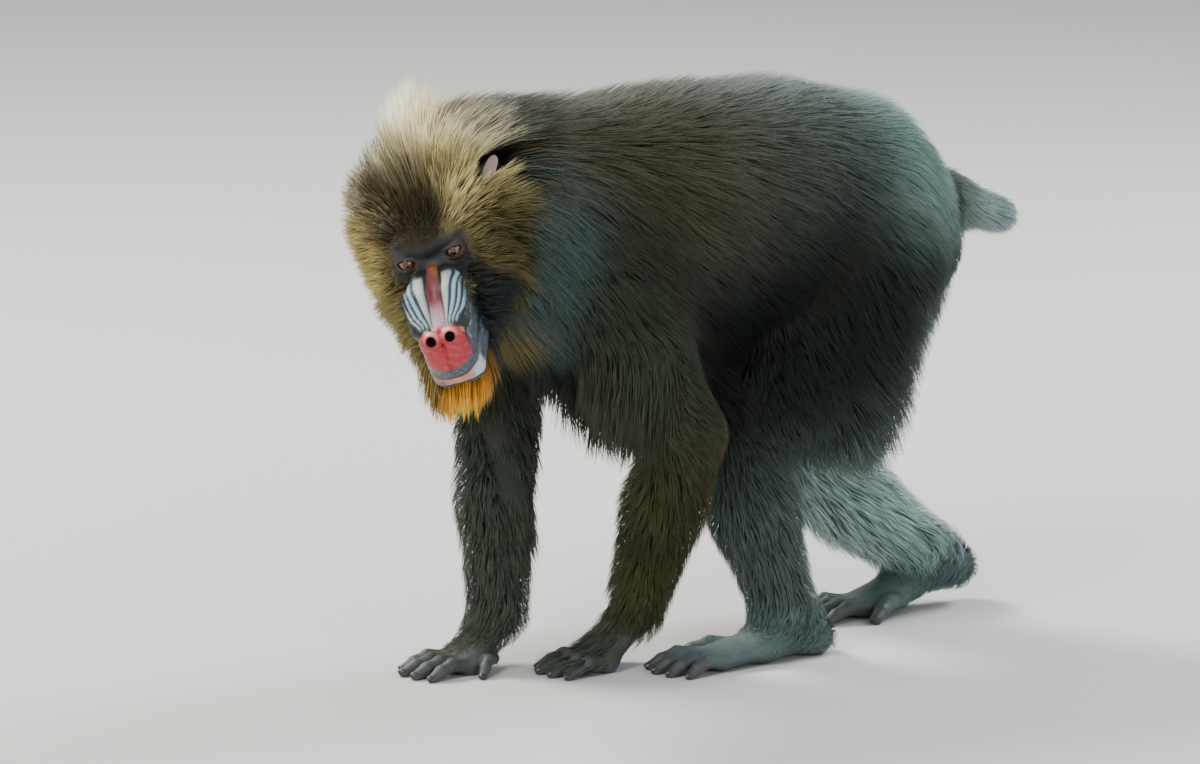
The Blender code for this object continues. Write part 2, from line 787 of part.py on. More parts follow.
def joint_cut(limb):
    return (limb.middle, bend_normal(limb.top, limb.middle, limb.end))


def end_cut(limb, arm):
    """The cut above a hand goes square across the wrist, and the one above a foot lies level over the ankle."""
    bone = unit(limb.end - limb.middle)
    return (limb.end - bone * 1.2 * CM, bone) if arm else (limb.end + UP * 1.3 * CM, -UP)


FLOOR = (np.zeros(3), -UP)


# Eyes, ears, nose and mouth

HEAD_AXES = (HEAD_LEFT, CROWN, GAZE)


def eye_centre(way):
    return skull(EYE_SPACING / 2 * way, -EYE_DEPTH, 0.0)


def eye(name, way):
    return sphere(name, eye_centre(way), (EYE_RADIUS,) * 3, HEAD_AXES)


def add_lids(head):
    """Two lids round each eye: a shell that an almond-shaped slit opens."""
    lid_radii = (EYE_RADIUS + LID_THICKNESS,) * 3
    shells = [sphere("shell", eye_centre(way), lid_radii, HEAD_AXES) for way in (-1, 1)]
    boolean_all(head, shells, "UNION")
    socket_radius = EYE_RADIUS + GAP / CM
    cutters = []
    for way in (-1, 1):
        cutters.append(sphere("socket", eye_centre(way), (socket_radius,) * 3, HEAD_AXES))
        slit = eye_centre(way) + GAZE * 1.0 * CM
        tilt = HEAD_LEFT * way * 0.97 + CROWN * 0.24
        axes = (tilt, np.cross(GAZE, tilt) * way, GAZE)
        cutters.append(sphere("slit", slit, (0.98, 0.5, 0.8), axes, 12, 7))
    boolean_all(head, cutters, "DIFFERENCE")


def nose_and_mouth_cutters(field):
    """Two nostrils, the line of the mouth, the fold under the lower lip, and the grooves of the cheek swellings."""
    cutters = []
    for way in (-1, 1):
        out = unit(MUZZLE * 0.68 + MUZZLE_UP * 0.72 + HEAD_LEFT * 0.12 * way)
        length_way = HEAD_LEFT * way - MUZZLE_UP * 0.35 + MUZZLE * 0.2
        length_way = unit(length_way - out * np.dot(length_way, out))
        axes = (length_way, np.cross(out, length_way), out)
        centre = snout(NOSTRIL_SPACING / 2 * way, NOSTRIL_FORWARD, NOSTRIL_RISE)
        cutters.append(sphere("nostril", centre, NOSTRIL_RADII, axes, 10, 6))
        for index in range(GROOVES):
            out = 0.95 + 0.85 * index
            route = [
                snout((out + 0.25 * math.sin(math.pi * share)) * way, 3.2 + 0.5 * index + share * (5.4 - 0.3 * index),
                      0.9 - 0.35 * index)
                for share in np.linspace(0, 1, 6)
            ]
            cutters.append(groove(field, route, GROOVE_RADIUS))
    mouth = []
    for share in np.linspace(-1, 1, 13):
        front = 12.3 - 6.5 * abs(share) ** 2.2
        mouth.append(snout(3.2 * math.sin(share * math.pi / 2), front, -MOUTH_DROP - MOUTH_SAG * share**2))
    cutters.append(groove(field, mouth, GROOVE_RADIUS))
    return cutters


def ear_axis(way):
    """The root and tip of an ear. The head's right ear lies closer to the skull."""
    if way > 0:
        return skull(5.0, -9.0, 1.8), skull(8.6, -10.0, 5.8)
    return skull(-5.0, -9.0, 1.8), skull(-7.6, -10.4, 5.4)


EAR_REACH = 1.9


def ear_sides(way):
    """The ear's axis, its front and the way across it."""
    root, tip = ear_axis(way)
    axis = unit(tip - root)
    front = unit(GAZE - axis * np.dot(GAZE, axis))
    return axis, front, np.cross(axis, front)


def ear_base(way, skin):
    """The place on the ear's axis where the whole of its block is nearly out of the coat's core."""
    root, tip = ear_axis(way)
    axis, front, across = ear_sides(way)
    line = root + (tip - root) * np.linspace(0, 0.8, 81)[:, None]
    lowest = skin(line)
    for direction in (front, -front, across, -across):
        lowest = np.minimum(lowest, skin(line + direction * EAR_REACH * CM) + 0.006)
    clear = np.flatnonzero(lowest > 0.001)
    return line[clear[0]] if len(clear) else line[50]


def ear_block(way, skin):
    """The block that holds the ear outside the coat."""
    base = ear_base(way, skin)
    axis, front, across = ear_sides(way)
    planes = [(base, -axis)]
    for direction in (front, -front, across, -across):
        planes.append((base + direction * EAR_REACH * CM, direction))
    return planes


def ear(name, way, skin):
    root, tip = ear_axis(way)
    low, high = span([root, tip], 3)
    obj = solid(name, "ear", field_of(ear_forms(way)), (low, high), ear_block(way, skin))
    axis, front, across = ear_sides(way)
    cup = sphere("cup", tip - axis * 0.5 * CM + front * 0.75 * CM, (0.95, 1.15, 0.75), (across, axis, front), 10, 6)
    boolean_all(obj, [cup], "DIFFERENCE")
    keep_largest(obj)
    return obj


def nails(tips):
    """A flat nail on the end of each digit."""
    made = []
    for tip, heading, radius in tips:
        top = np.array([tip[0], tip[1], radius * 1.1 * CM])
        across = np.cross(UP, heading)
        centres = [top + heading * reach * CM for reach in (-0.55, 0.1)]
        end = top + heading * 0.75 * CM - UP * 0.3 * CM
        sizes = [(radius * 0.45 * CM, 0.14 * CM), (radius * 0.8 * CM, 0.24 * CM)]
        made.append(face_out(mesh_object("nail", *lofted(centres, [across] * 2, [UP] * 2, sizes, 4, end))))
    return made


# Fields

TRUNK = field_of(torso_forms() + neck_forms() + head_forms() + head_coat_forms())
HEAD_SKIN = field_of(neck_forms() + head_forms() + head_coat_forms())
TAIL = field_of(tail_forms())
LIMB_FIELDS = {
    "arm_left": field_of(ARM_L.forms + HAND_L.forms),
    "arm_right": field_of(ARM_R.forms + HAND_R.forms),
    "leg_left": field_of(LEG_L.forms + FOOT_L.forms),
    "leg_right": field_of(LEG_R.forms + FOOT_R.forms),
}


def whole_field():
    fields = [joined(TRUNK, LIMB_FIELDS[name]) for name in LIMB_FIELDS]
    return both(*fields, joined(TRUNK, TAIL, 1.6))


# Hair locks

RING_SHARES = np.array([0.0, 0.22, 0.5, 0.76, 1.0])
RING_WIDTHS = (0.6, 1.0, 0.92, 0.58)
RING_DEPTHS = (0.8, 1.0, 0.85, 0.6)


def weight_of(field, points, reach=2.0):
    return np.exp(-np.maximum(field(points), -0.03) / (reach * CM))[:, None]


def level(points):
    """Places back in centimetres forward, left and up."""
    return np.stack([-points[:, 1] / CM + STANCE[0], points[:, 0] / CM + STANCE[1], points[:, 2] / CM], axis=1)


def ramp(values, start, stop):
    share = np.clip((values - start) / (stop - start), 0, 1)
    return share * share * (3 - 2 * share)


def rows(vector, count):
    return np.tile(np.asarray(vector, float), (count, 1))


def trunk_flow(points):
    """Backwards along the spine, turning down over the flanks and the rump."""
    place = level(points)
    flank = ramp(np.abs(place[:, 1]), 2.0, 10.0)
    rump = ramp(-place[:, 0], 20.0, 31.0)
    back = (1.0 - 0.75 * rump)[:, None] * -AHEAD
    fall = (0.12 + 0.75 * flank + 0.9 * rump)[:, None] * -UP
    return back + fall


def in_head(points):
    """Left, along the gaze and up from between the eyes, in centimetres."""
    rel = (points - EYES) / CM
    return np.stack([rel @ HEAD_LEFT, rel @ GAZE, rel @ CROWN], axis=1)


def head_flow(points):
    """Away from the face: up over the crown, out over the cheeks and down at the throat."""
    place = in_head(points)
    radial = place[:, [0]] * HEAD_LEFT * 0.11 + (place[:, [2]] + 1.5) * CROWN * 0.11
    return radial - GAZE * 0.75 - UP * 0.15


FLOW_GROUPS = {
    "trunk": (field_of(torso_forms()), trunk_flow),
    "neck": (field_of(neck_forms()), lambda points: rows(along(-1, 0, -0.35), len(points))),
    "head": (field_of(head_forms() + head_coat_forms()), head_flow),
    "tail": (TAIL, lambda points: rows(along(-1, 0, -0.4), len(points))),
}


def limb_flow(limb):
    upper, lower = unit(limb.middle - limb.top), unit(limb.end - limb.middle)

    def flow(points):
        run = (points - limb.middle) @ lower
        share = ramp(run, -0.03, 0.05)[:, None]
        return upper * (1 - share) + lower * share - AHEAD * 0.35 * (1 - share) + rows((0, 0.1, 0), len(points))

    return flow


for limb_name, limb_item in (("arm_left", ARM_L), ("arm_right", ARM_R), ("leg_left", LEG_L), ("leg_right", LEG_R)):
    FLOW_GROUPS[limb_name] = (field_of(limb_item.forms), limb_flow(limb_item))


def coat_flow(points):
    """The lie of the coat: each part's own direction, blended near where parts meet."""
    total = np.zeros_like(points)
    for field, direction in FLOW_GROUPS.values():
        heading = direction(points)
        heading = heading / np.linalg.norm(heading, axis=1, keepdims=True)
        total += heading * weight_of(field, points)
    return total


def normalised(vectors):
    return vectors / np.maximum(np.linalg.norm(vectors, axis=1, keepdims=True), 1e-9)


def lock_rng(node):
    return np.random.default_rng(LOCK_SEEDS.get(node, LOCK_SEED))


class Locks:
    """Locks as rings of centre, across and lift, with a tip each. Sizes are in centimetres."""

    def __init__(self):
        self.items = []

    def add(self, centres, across, lift, width):
        self.items.append((centres, across, lift, width))

    def objects(self):
        made = []
        for centres, across, lift, width in self.items:
            sizes = [
                (width * share_w * CM, LOCK_THICKNESS * share_d * CM)
                for share_w, share_d in zip(RING_WIDTHS, RING_DEPTHS)
            ]
            shape = lofted(centres[:-1], across, lift, sizes, LOCK_CORNERS, centres[-1])
            made.append(face_out(mesh_object("lock", *shape)))
        return made


def lie_locks(locks, roots, field, length, rise, width, rng):
    """Locks that leave the surface at their roots and lie along the coat, their tips raised by rise."""
    count = len(roots)
    lengths = np.broadcast_to(length, count) * rng.uniform(0.85, 1.15, count) * CM
    rises = np.broadcast_to(rise, count) * rng.uniform(0.8, 1.2, count)
    sway = rng.uniform(-LOCK_SWAY, LOCK_SWAY, count)
    points = roots.copy()
    centres, lifts, acrosses = [], [], []
    for index, share in enumerate(RING_SHARES):
        normal = normalised(slope_of(field, points))
        heading = coat_flow(points)
        heading = normalised(heading - normal * (heading * normal).sum(axis=1, keepdims=True))
        side = np.cross(heading, normal)
        heading = normalised(heading + side * sway[:, None])
        height = -LOCK_SINK + (LOCK_LEAVE + LOCK_SINK) * min(share / RING_SHARES[1], 1)
        later = max(share - RING_SHARES[1], 0) / (1 - RING_SHARES[1])
        heights = (height + (rises - LOCK_LEAVE) * later) * CM
        centre = points + normal * (heights - field(points))[:, None]
        centres.append(centre)
        lifts.append(normal)
        acrosses.append(np.cross(heading, normal))
        if index < len(RING_SHARES) - 1:
            points = centre + heading * (lengths * (RING_SHARES[index + 1] - share))[:, None]
    centres, lifts, acrosses = np.stack(centres, 1), np.stack(lifts, 1), np.stack(acrosses, 1)
    widths = np.broadcast_to(width, count) * rng.uniform(0.85, 1.15, count)
    for item in range(count):
        locks.add(centres[item], acrosses[item], lifts[item], widths[item])


def free_lock(locks, root, heading, bend, length, width, lift):
    """A lock that stands or hangs free: it leaves the root along heading and turns towards bend."""
    heading, bend = unit(heading), np.asarray(bend, float)
    start = root - heading * LOCK_SINK * CM
    reach = (length + LOCK_SINK) * CM
    centres = np.array([start + heading * reach * share + bend * reach * share**2 for share in RING_SHARES])
    steps = normalised(np.gradient(centres, axis=0))
    across = normalised(np.cross(steps, rows(lift, len(steps))))
    raised = np.cross(across, steps)
    locks.add(centres, across, raised, width)


def spread_roots(points, spacing, rng):
    """Points at least spacing apart, in metres, drawn in a shuffled order."""
    order = rng.permutation(len(points))
    chosen = np.empty((0, 3))
    for index in order:
        point = points[index]
        if not len(chosen) or np.linalg.norm(chosen - point, axis=1).min() > spacing:
            chosen = np.vstack([chosen, point])
    return chosen


ROOT_CELL = 0.009

# For each part of the coat: the spacing of its locks' roots, their length and their width.
LOCK_SIZES = {
    "torso": (6.2, 10.5, 2.8), "chest": (3.4, 5.6, 1.4), "neck": (4.4, 8.5, 2.3), "tail": (2.9, 4.5, 0.9),
    "upper_arm": (5.3, 7.5, 2.1), "forearm": (4.9, 6.0, 1.6), "thigh": (6.1, 8.5, 2.4), "fringe": (5.0, 5.8, 1.9),
    "shin": (4.9, 6.0, 1.6), "ruff": (5.2, 7.4, 2.3), "crown": (5.2, 7.2, 2.5),
}


def roots_on(field, low, high, keep, remove, spacing, rng, margin=1.0):
    """Places for locks on the part of a surface that one node keeps, at least spacing apart."""
    points, _ = surface_net(field, low, high, ROOT_CELL)
    chosen = (np.abs(field(points)) < 0.0005) & within(points, keep, margin * CM)
    for planes in remove:
        chosen &= ~within(points, planes, -margin * CM)
    return spread_roots(points[chosen], spacing * CM, rng)


def within(points, planes, margin):
    """Which points lie inside all planes by this much."""
    found = np.ones(len(points), bool)
    for point, normal in planes:
        found &= (points - point) @ unit(normal) < -margin
    return found


TORSO_COAT = ((-30, -21, -11, 0, 9, 16.5, 21), (2.2, 2.9, 3.4, 3.6, 3.8, 4.4, 5.0))


FREE_LENGTHS = (0.86, 1.14)


def tip_rise(roots, table, share=0.62):
    """How far the tips of locks stand off the core, from a table of coat depth along the body."""
    return np.interp(level(roots)[:, 0], *table) * share


def torso_locks(field, low, high, keep, remove, rng):
    locks = Locks()
    spacing, length, width = LOCK_SIZES["torso"]
    roots = roots_on(field, low, high, keep, remove, spacing, rng, 1.2)
    place = level(roots)
    chest = (place[:, 0] > 5) & (place[:, 2] < 38.5) & (np.abs(place[:, 1]) < 5)
    back = roots[~chest]
    lie_locks(locks, back, field, length, tip_rise(back, TORSO_COAT), width, rng)
    spacing, length, width = LOCK_SIZES["chest"]
    hanging = roots_on(field, low, high, keep, remove, spacing, rng, 1.2)
    place = level(hanging)
    hanging = hanging[(place[:, 0] > 4) & (place[:, 0] < 17) & (place[:, 2] < 36.5) & (np.abs(place[:, 1]) < 4.6)]
    normals = normalised(slope_of(field, hanging))
    for root, normal in zip(hanging, normals):
        heading = normal * 0.6 - UP * 1.0 - AHEAD * 0.3
        free_lock(locks, root, heading, -UP * 0.25, length * rng.uniform(*FREE_LENGTHS), width, normal)
    return locks.objects()


def neck_locks(field, low, high, keep, rng):
    locks = Locks()
    spacing, length, width = LOCK_SIZES["neck"]
    roots = roots_on(field, low, high, keep, (), spacing, rng, 0.6)
    lie_locks(locks, roots, field, length, 3.0, width, rng)
    return locks.objects()


def plain_locks(node, kind, field, low, high, keep, rise, margin=1.0):
    """Locks over one node that all have the same size."""
    locks, rng = Locks(), lock_rng(node)
    spacing, length, width = LOCK_SIZES[kind]
    roots = roots_on(field, low, high, keep, (), spacing, rng, margin)
    lie_locks(locks, roots, field, length, rise, width, rng)
    return locks.objects()


def thigh_locks(limb, field, low, high, keep, rng):
    """Short locks on the thigh and a longer fringe on its back edge."""
    locks = Locks()
    spacing, length, width = LOCK_SIZES["thigh"]
    roots = roots_on(field, low, high, keep, (), spacing, rng, 1.0)
    lie_locks(locks, roots, field, length, 1.5, width, rng)
    bone = unit(limb.middle - limb.top)
    rear = -unit(AHEAD - bone * np.dot(AHEAD, bone))
    spacing, length, width = LOCK_SIZES["fringe"]
    edge = roots_on(field, low, high, keep, (), spacing, rng, 1.0)
    normals = normalised(slope_of(field, edge))
    on_edge = (normals @ rear > 0.8) & (edge[:, 2] < limb.top[2] - 0.03)
    for root, normal in zip(edge[on_edge], normals[on_edge]):
        heading = normal * 0.6 - UP * 0.8 + rear * 0.5
        free_lock(locks, root, heading, -UP * 0.1, length * rng.uniform(*FREE_LENGTHS), width, normal)
    return locks.objects()


# Crest locks as (left, front, up, length) in the skull's frame, and beard roots as (left, forward) on the jaw.
CREST = (
    (0.0, -4.2, 5.6, 8.4), (0.0, -6.4, 7.4, 9.8), (0.0, -8.6, 9.0, 9.4), (0.0, -10.8, 8.0, 8.4),
    (-1.5, -5.4, 5.6, 8.0), (-1.5, -7.6, 7.6, 8.6), (-1.5, -9.8, 7.6, 8.0),
    (1.5, -5.4, 5.6, 8.0), (1.5, -7.6, 7.6, 8.6), (1.5, -9.8, 7.6, 8.0),
)
CREST_WIDTH = 1.6
BEARD_ROOTS = (
    (-1.4, 9.6), (0.0, 10.2), (1.4, 9.6), (-1.9, 7.2), (0.0, 7.6), (1.9, 7.2), (-1.0, 5.2), (1.0, 5.2),
    (-2.4, 4.4), (2.4, 4.4),
)
BEARD_SIZE = (5.6, 1.0)


def head_locks(field, low, high, keep, remove, rng):
    """The crest, the crown, the cheek ruffs, the beard and the throat."""
    locks = Locks()
    for left, front, up, reach in CREST:
        root = settle(field, skull(left, front, up)[None], 0.01, 8)[0]
        heading = CROWN * 0.95 - GAZE * 0.5 + HEAD_LEFT * left * 0.12
        free_lock(locks, root, heading, -GAZE * 0.28, reach * rng.uniform(0.9, 1.05), CREST_WIDTH, GAZE)
    spacing, length, width = LOCK_SIZES["ruff"]
    ruff = roots_on(field, low, high, keep, remove, spacing, rng, 0.8)
    place = in_head(ruff)
    cheek = (place[:, 1] < -3.4) & (place[:, 1] > -14) & (np.abs(place[:, 0]) > 3.6) & (place[:, 2] < 6)
    crown = (place[:, 1] < -4.5) & (place[:, 2] >= 4) & ~cheek & (np.abs(place[:, 0]) > 2.0)
    nape = (place[:, 1] < -9.5) & ~cheek & ~crown
    lie_locks(locks, ruff[cheek], field, length, 2.8, width, rng)
    _, length, width = LOCK_SIZES["crown"]
    lie_locks(locks, ruff[crown | nape], field, length, 2.4, width, rng)
    for left, forward in BEARD_ROOTS:
        root = settle(field, snout(left, forward, -8.0)[None], 0.01, 8)[0]
        heading = -UP * 0.9 - LEVEL * 0.45 + HEAD_LEFT * left * 0.1
        free_lock(locks, root, heading, -LEVEL * 0.2, BEARD_SIZE[0] * rng.uniform(*FREE_LENGTHS), BEARD_SIZE[1], MUZZLE)
    throat = (place[:, 1] > -9.5) & (place[:, 1] < 2) & (place[:, 2] < -7.5) & (np.abs(place[:, 0]) <= 4.5)
    lie_locks(locks, ruff[throat], field, 6.0, 1.8, 1.4, rng)
    return locks.objects()


# Materials

def material(name, colour, roughness):
    found = bpy.data.materials.new(name)
    found.use_nodes = True
    shader = found.node_tree.nodes["Principled BSDF"]
    shader.inputs["Base Color"].default_value = (*colour, 1.0)
    shader.inputs["Roughness"].default_value = roughness
    shader.inputs["Metallic"].default_value = 0.0
    return found


MATERIALS = {
    "coat": ((0.085, 0.08, 0.052), 0.75),
    "face": ((0.30, 0.10, 0.12), 0.5),
    "ear_skin": ((0.36, 0.26, 0.23), 0.55),
    "eye": ((0.20, 0.09, 0.02), 0.15),
    "hand_skin": ((0.10, 0.11, 0.13), 0.6),
}
NODE_MATERIALS = {"eye": "eye", "ear": "ear_skin", "hand": "hand_skin", "foot": "hand_skin", "head": "face"}


def finish(nodes):
    """Gives each node its material and smooth shading, and puts all of them under one empty."""
    found = {name: material(name, *values) for name, values in MATERIALS.items()}
    parent = bpy.data.objects.new("mandrill", None)
    bpy.context.scene.collection.objects.link(parent)
    for name, obj in nodes.items():
        obj.data.materials.clear()
        obj.data.materials.append(found[NODE_MATERIALS.get(name.split("_")[0], "coat")])
        obj.data.shade_smooth()
        obj.data.set_sharp_from_angle(angle=SHARP_ANGLE)
        obj.parent = parent


def span(points, margin):
    points = np.array(points)
    return points.min(axis=0) - margin * CM, points.max(axis=0) + margin * CM


def limb_nodes(side, arm):
    """The upper part, lower part and hand or foot of one limb."""
    limb = {("left", True): ARM_L, ("right", True): ARM_R, ("left", False): LEG_L, ("right", False): LEG_R}[
        (side, arm)
    ]
    end = {("left", True): HAND_L, ("right", True): HAND_R, ("left", False): FOOT_L, ("right", False): FOOT_R}[
        (side, arm)
    ]
    own = LIMB_FIELDS[("arm_" if arm else "leg_") + side]
    upper_name, lower_name, end_name = ("upper_arm", "forearm", "hand") if arm else ("thigh", "shin", "foot")
    shoulder = shoulder_region(ARM_L if side == "left" else ARM_R)
    block = shoulder if arm else thigh_region(limb)
    low, high = span([limb.top, limb.middle], 14)
    field = joined(TRUNK, own)
    if arm:
        locks = plain_locks(upper_name + side, upper_name, field, low, high, block, 1.3)
    else:
        locks = thigh_locks(limb, field, low, high, block, lock_rng(upper_name + side))
    others = [] if arm else [shoulder]
    upper = solid(f"{upper_name}_{side}", upper_name, field, (low, high), block, others, locks)
    low, high = span([limb.middle, limb.end], 8)
    keep = [opposite(joint_cut(limb)), end_cut(limb, arm)]
    locks = plain_locks(lower_name + side, lower_name, own, low, high, keep, 0.7, 1.6)
    lower = solid(f"{lower_name}_{side}", lower_name, own, (low, high), keep, locks=locks)
    tips = [tip for tip, _, _ in end.tips]
    low, high = span([limb.end, *tips] + ([] if arm else [end.forms[0].b]), 4.5)
    low[2] = -0.02
    foot = solid(f"{end_name}_{side}", end_name, own, (low, high), [opposite(end_cut(limb, arm))])
    boolean_all(foot, nails(end.tips), "UNION")
    floor = region("floor", [FLOOR], 0.0)
    boolean(foot, floor, "INTERSECT")
    discard(floor)
    keep_largest(foot)
    return upper, lower, foot


def build():
    for obj in list(bpy.data.objects):
        bpy.data.objects.remove(obj)
    whole = whole_field()
    made = {}
    for side in ("left", "right"):
        for arm in (True, False):
            for obj in limb_nodes(side, arm):
                made[obj.name] = obj
    blocks = [shoulder_region(ARM_L), shoulder_region(ARM_R), thigh_region(LEG_L), thigh_region(LEG_R)]
    tail_block = [opposite(TAIL_CUT), (at(-36, 4.5, 47), LEFT), (at(-36, -4.5, 47), -LEFT)]
    tail_block += [(at(-36, 0, 53), UP), (at(-36, 0, 40), -UP)]
    low, high = span([at(-30, -11, 30), at(22, 11, 60)], 6)
    keep, remove = [NECK_BASE], blocks + [tail_block]
    locks = torso_locks(whole, low, high, keep, remove, lock_rng("torso"))
    made["torso"] = solid("torso", "torso", whole, (low, high), keep, remove, locks)
    low, high = span([at(-34, 0, 48), at(-42, 0, 46)], 5)
    locks = plain_locks("tail", "tail", TAIL, low, high, tail_block, 0.55, 0.3)
    made["tail"] = solid("tail", "tail", TAIL, (low, high), tail_block, locks=locks)
    low, high = span([at(18, -8, 38), at(27, 8, 60)], 6)
    keep = [opposite(NECK_BASE), NECK_TOP]
    locks = neck_locks(whole, low, high, keep, lock_rng("neck"))
    made["neck"] = solid("neck", "neck", whole, (low, high), keep, locks=locks)
    low, high = span([skull(0, -12, 0), snout(0, 13, -3), skull(8, -8, 0), skull(-8, -8, 0)], 9)
    ears = {way: ear_block(way, HEAD_SKIN) for way in (-1, 1)}
    head_field = joined(joined(HEAD_SKIN, field_of(ear_forms(1)), 0.6), field_of(ear_forms(-1)), 0.6)
    keep, remove = [opposite(NECK_TOP)], list(ears.values())
    locks = head_locks(head_field, low, high, keep, remove, lock_rng("head"))
    head = solid("head", "head", head_field, (low, high), keep, remove, locks)
    boolean_all(head, nose_and_mouth_cutters(HEAD_SKIN), "DIFFERENCE")
    add_lids(head)
    keep_largest(head)
    made["head"] = head
    for side, way in (("left", 1), ("right", -1)):
        made["ear_" + side] = ear("ear_" + side, way, HEAD_SKIN)
        made["eye_" + side] = eye("eye_" + side, way)
    finish(made)


build()
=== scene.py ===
"""The looks of a life-size model of a mandrill in mid-step.

One closed skin carries the face, and eyes, nails and a coat of solid tufts are pieces of their own.
Metres, +Z up. The animal walks towards -Y and its left side is +X.
"""

import math
from collections import namedtuple

import bmesh
import bpy
import numpy as np
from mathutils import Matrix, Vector
from mathutils.kdtree import KDTree

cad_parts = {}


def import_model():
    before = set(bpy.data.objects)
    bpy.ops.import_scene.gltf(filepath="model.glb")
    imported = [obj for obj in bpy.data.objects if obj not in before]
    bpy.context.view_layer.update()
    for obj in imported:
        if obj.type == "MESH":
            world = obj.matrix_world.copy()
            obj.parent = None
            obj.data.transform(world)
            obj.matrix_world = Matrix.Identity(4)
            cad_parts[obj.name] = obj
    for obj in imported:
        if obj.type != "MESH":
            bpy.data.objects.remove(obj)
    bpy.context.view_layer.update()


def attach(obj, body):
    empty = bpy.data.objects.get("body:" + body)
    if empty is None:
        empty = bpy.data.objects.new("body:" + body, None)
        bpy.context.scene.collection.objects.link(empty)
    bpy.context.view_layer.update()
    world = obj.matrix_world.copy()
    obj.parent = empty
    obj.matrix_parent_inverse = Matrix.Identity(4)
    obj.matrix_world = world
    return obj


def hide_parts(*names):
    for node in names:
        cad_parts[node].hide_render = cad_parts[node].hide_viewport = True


CM = 0.01

# Sizes of the animal in centimetres, and the angles of its head
EYE_SPACING = 5.4
EYE_RADIUS = 1.05
EYE_DEPTH = 0.9
LID_THICKNESS = 0.24
EYE_ROOM = 0.03
LIP_HALF = 3.3
NOSTRIL_SPACING = 2.1
NOSTRIL_FORWARD = 11.0
NOSTRIL_RISE = 0.35
MUZZLE_SLOPE = math.radians(35)
HEAD_TURN = math.radians(70)
MUZZLE_DIP = math.radians(43)
HEAD_ROLL = math.radians(25)
# How far forward, left and up the frame's origin lies from the point that shapes are measured from
STANCE = (-0.55, 1.0, 0.0)

SIDES = (-1, 1)
LEFT = np.array([1.0, 0, 0])
AHEAD = np.array([0, -1.0, 0])
UP = np.array([0, 0, 1.0])


def at(forward, left, height):
    """A place given in centimetres forward, to the animal's left and up, as a point in metres."""
    return np.array([left - STANCE[1], -(forward - STANCE[0]), height - STANCE[2]]) * CM


def along(forward, left, height):
    """A direction of length one from its parts forward, left and up."""
    vector = np.array([left, -forward, height], float)
    return vector / np.linalg.norm(vector)


def unit(vector):
    return np.asarray(vector, float) / np.linalg.norm(vector)


def normalised(vectors):
    return vectors / np.maximum(np.linalg.norm(vectors, axis=-1, keepdims=True), 1e-9)


# The head's own directions: MUZZLE along the muzzle, GAZE ahead of the eyes, and what is up from each
LEVEL = np.array([math.sin(HEAD_TURN), -math.cos(HEAD_TURN), 0.0])
MUZZLE = LEVEL * math.cos(MUZZLE_DIP) - UP * math.sin(MUZZLE_DIP)
SIDE = np.cross(UP, LEVEL)
HEAD_LEFT = SIDE * math.cos(HEAD_ROLL) + np.cross(MUZZLE, SIDE) * math.sin(HEAD_ROLL)
MUZZLE_UP = np.cross(MUZZLE, HEAD_LEFT)
GAZE = MUZZLE * math.cos(MUZZLE_SLOPE) + MUZZLE_UP * math.sin(MUZZLE_SLOPE)
CROWN = np.cross(GAZE, HEAD_LEFT)
EYES = at(36.9, 8.7, 48.85)


def skull(left, front, up):
    """A place on the braincase, in centimetres from between the eyes."""
    return EYES + (HEAD_LEFT * left + GAZE * front + CROWN * up) * CM


def snout(left, forward, up):
    """A place on the muzzle, in centimetres from between the eyes."""
    return EYES + (HEAD_LEFT * left + MUZZLE * forward + MUZZLE_UP * up) * CM


def in_skull(points):
    """Left, along the gaze and up from between the eyes, in centimetres."""
    rel = (points - EYES) / CM
    return rel @ HEAD_LEFT, rel @ GAZE, rel @ CROWN


def in_snout(points):
    """Left, along the muzzle and off its back from between the eyes, in centimetres."""
    rel = (points - EYES) / CM
    return rel @ HEAD_LEFT, rel @ MUZZLE, rel @ MUZZLE_UP


def in_body(points):
    """Forward, left and up on the body, in centimetres."""
    return points[:, 1] / -CM + STANCE[0], points[:, 0] / CM + STANCE[1], points[:, 2] / CM


def ramp(values, start, stop):
    """0 before start and 1 past stop, with a smooth step between."""
    share = np.clip((values - start) / (stop - start), 0, 1)
    return share * share * (3 - 2 * share)


def fall(values, start, stop):
    """1 before start and 0 past stop."""
    return 1 - ramp(values, start, stop)


def bump_at(values, centre, width):
    """1 at the centre, with a soft fall to 0 on both sides."""
    return np.exp(-(((values - centre) / width) ** 2))


# Forms

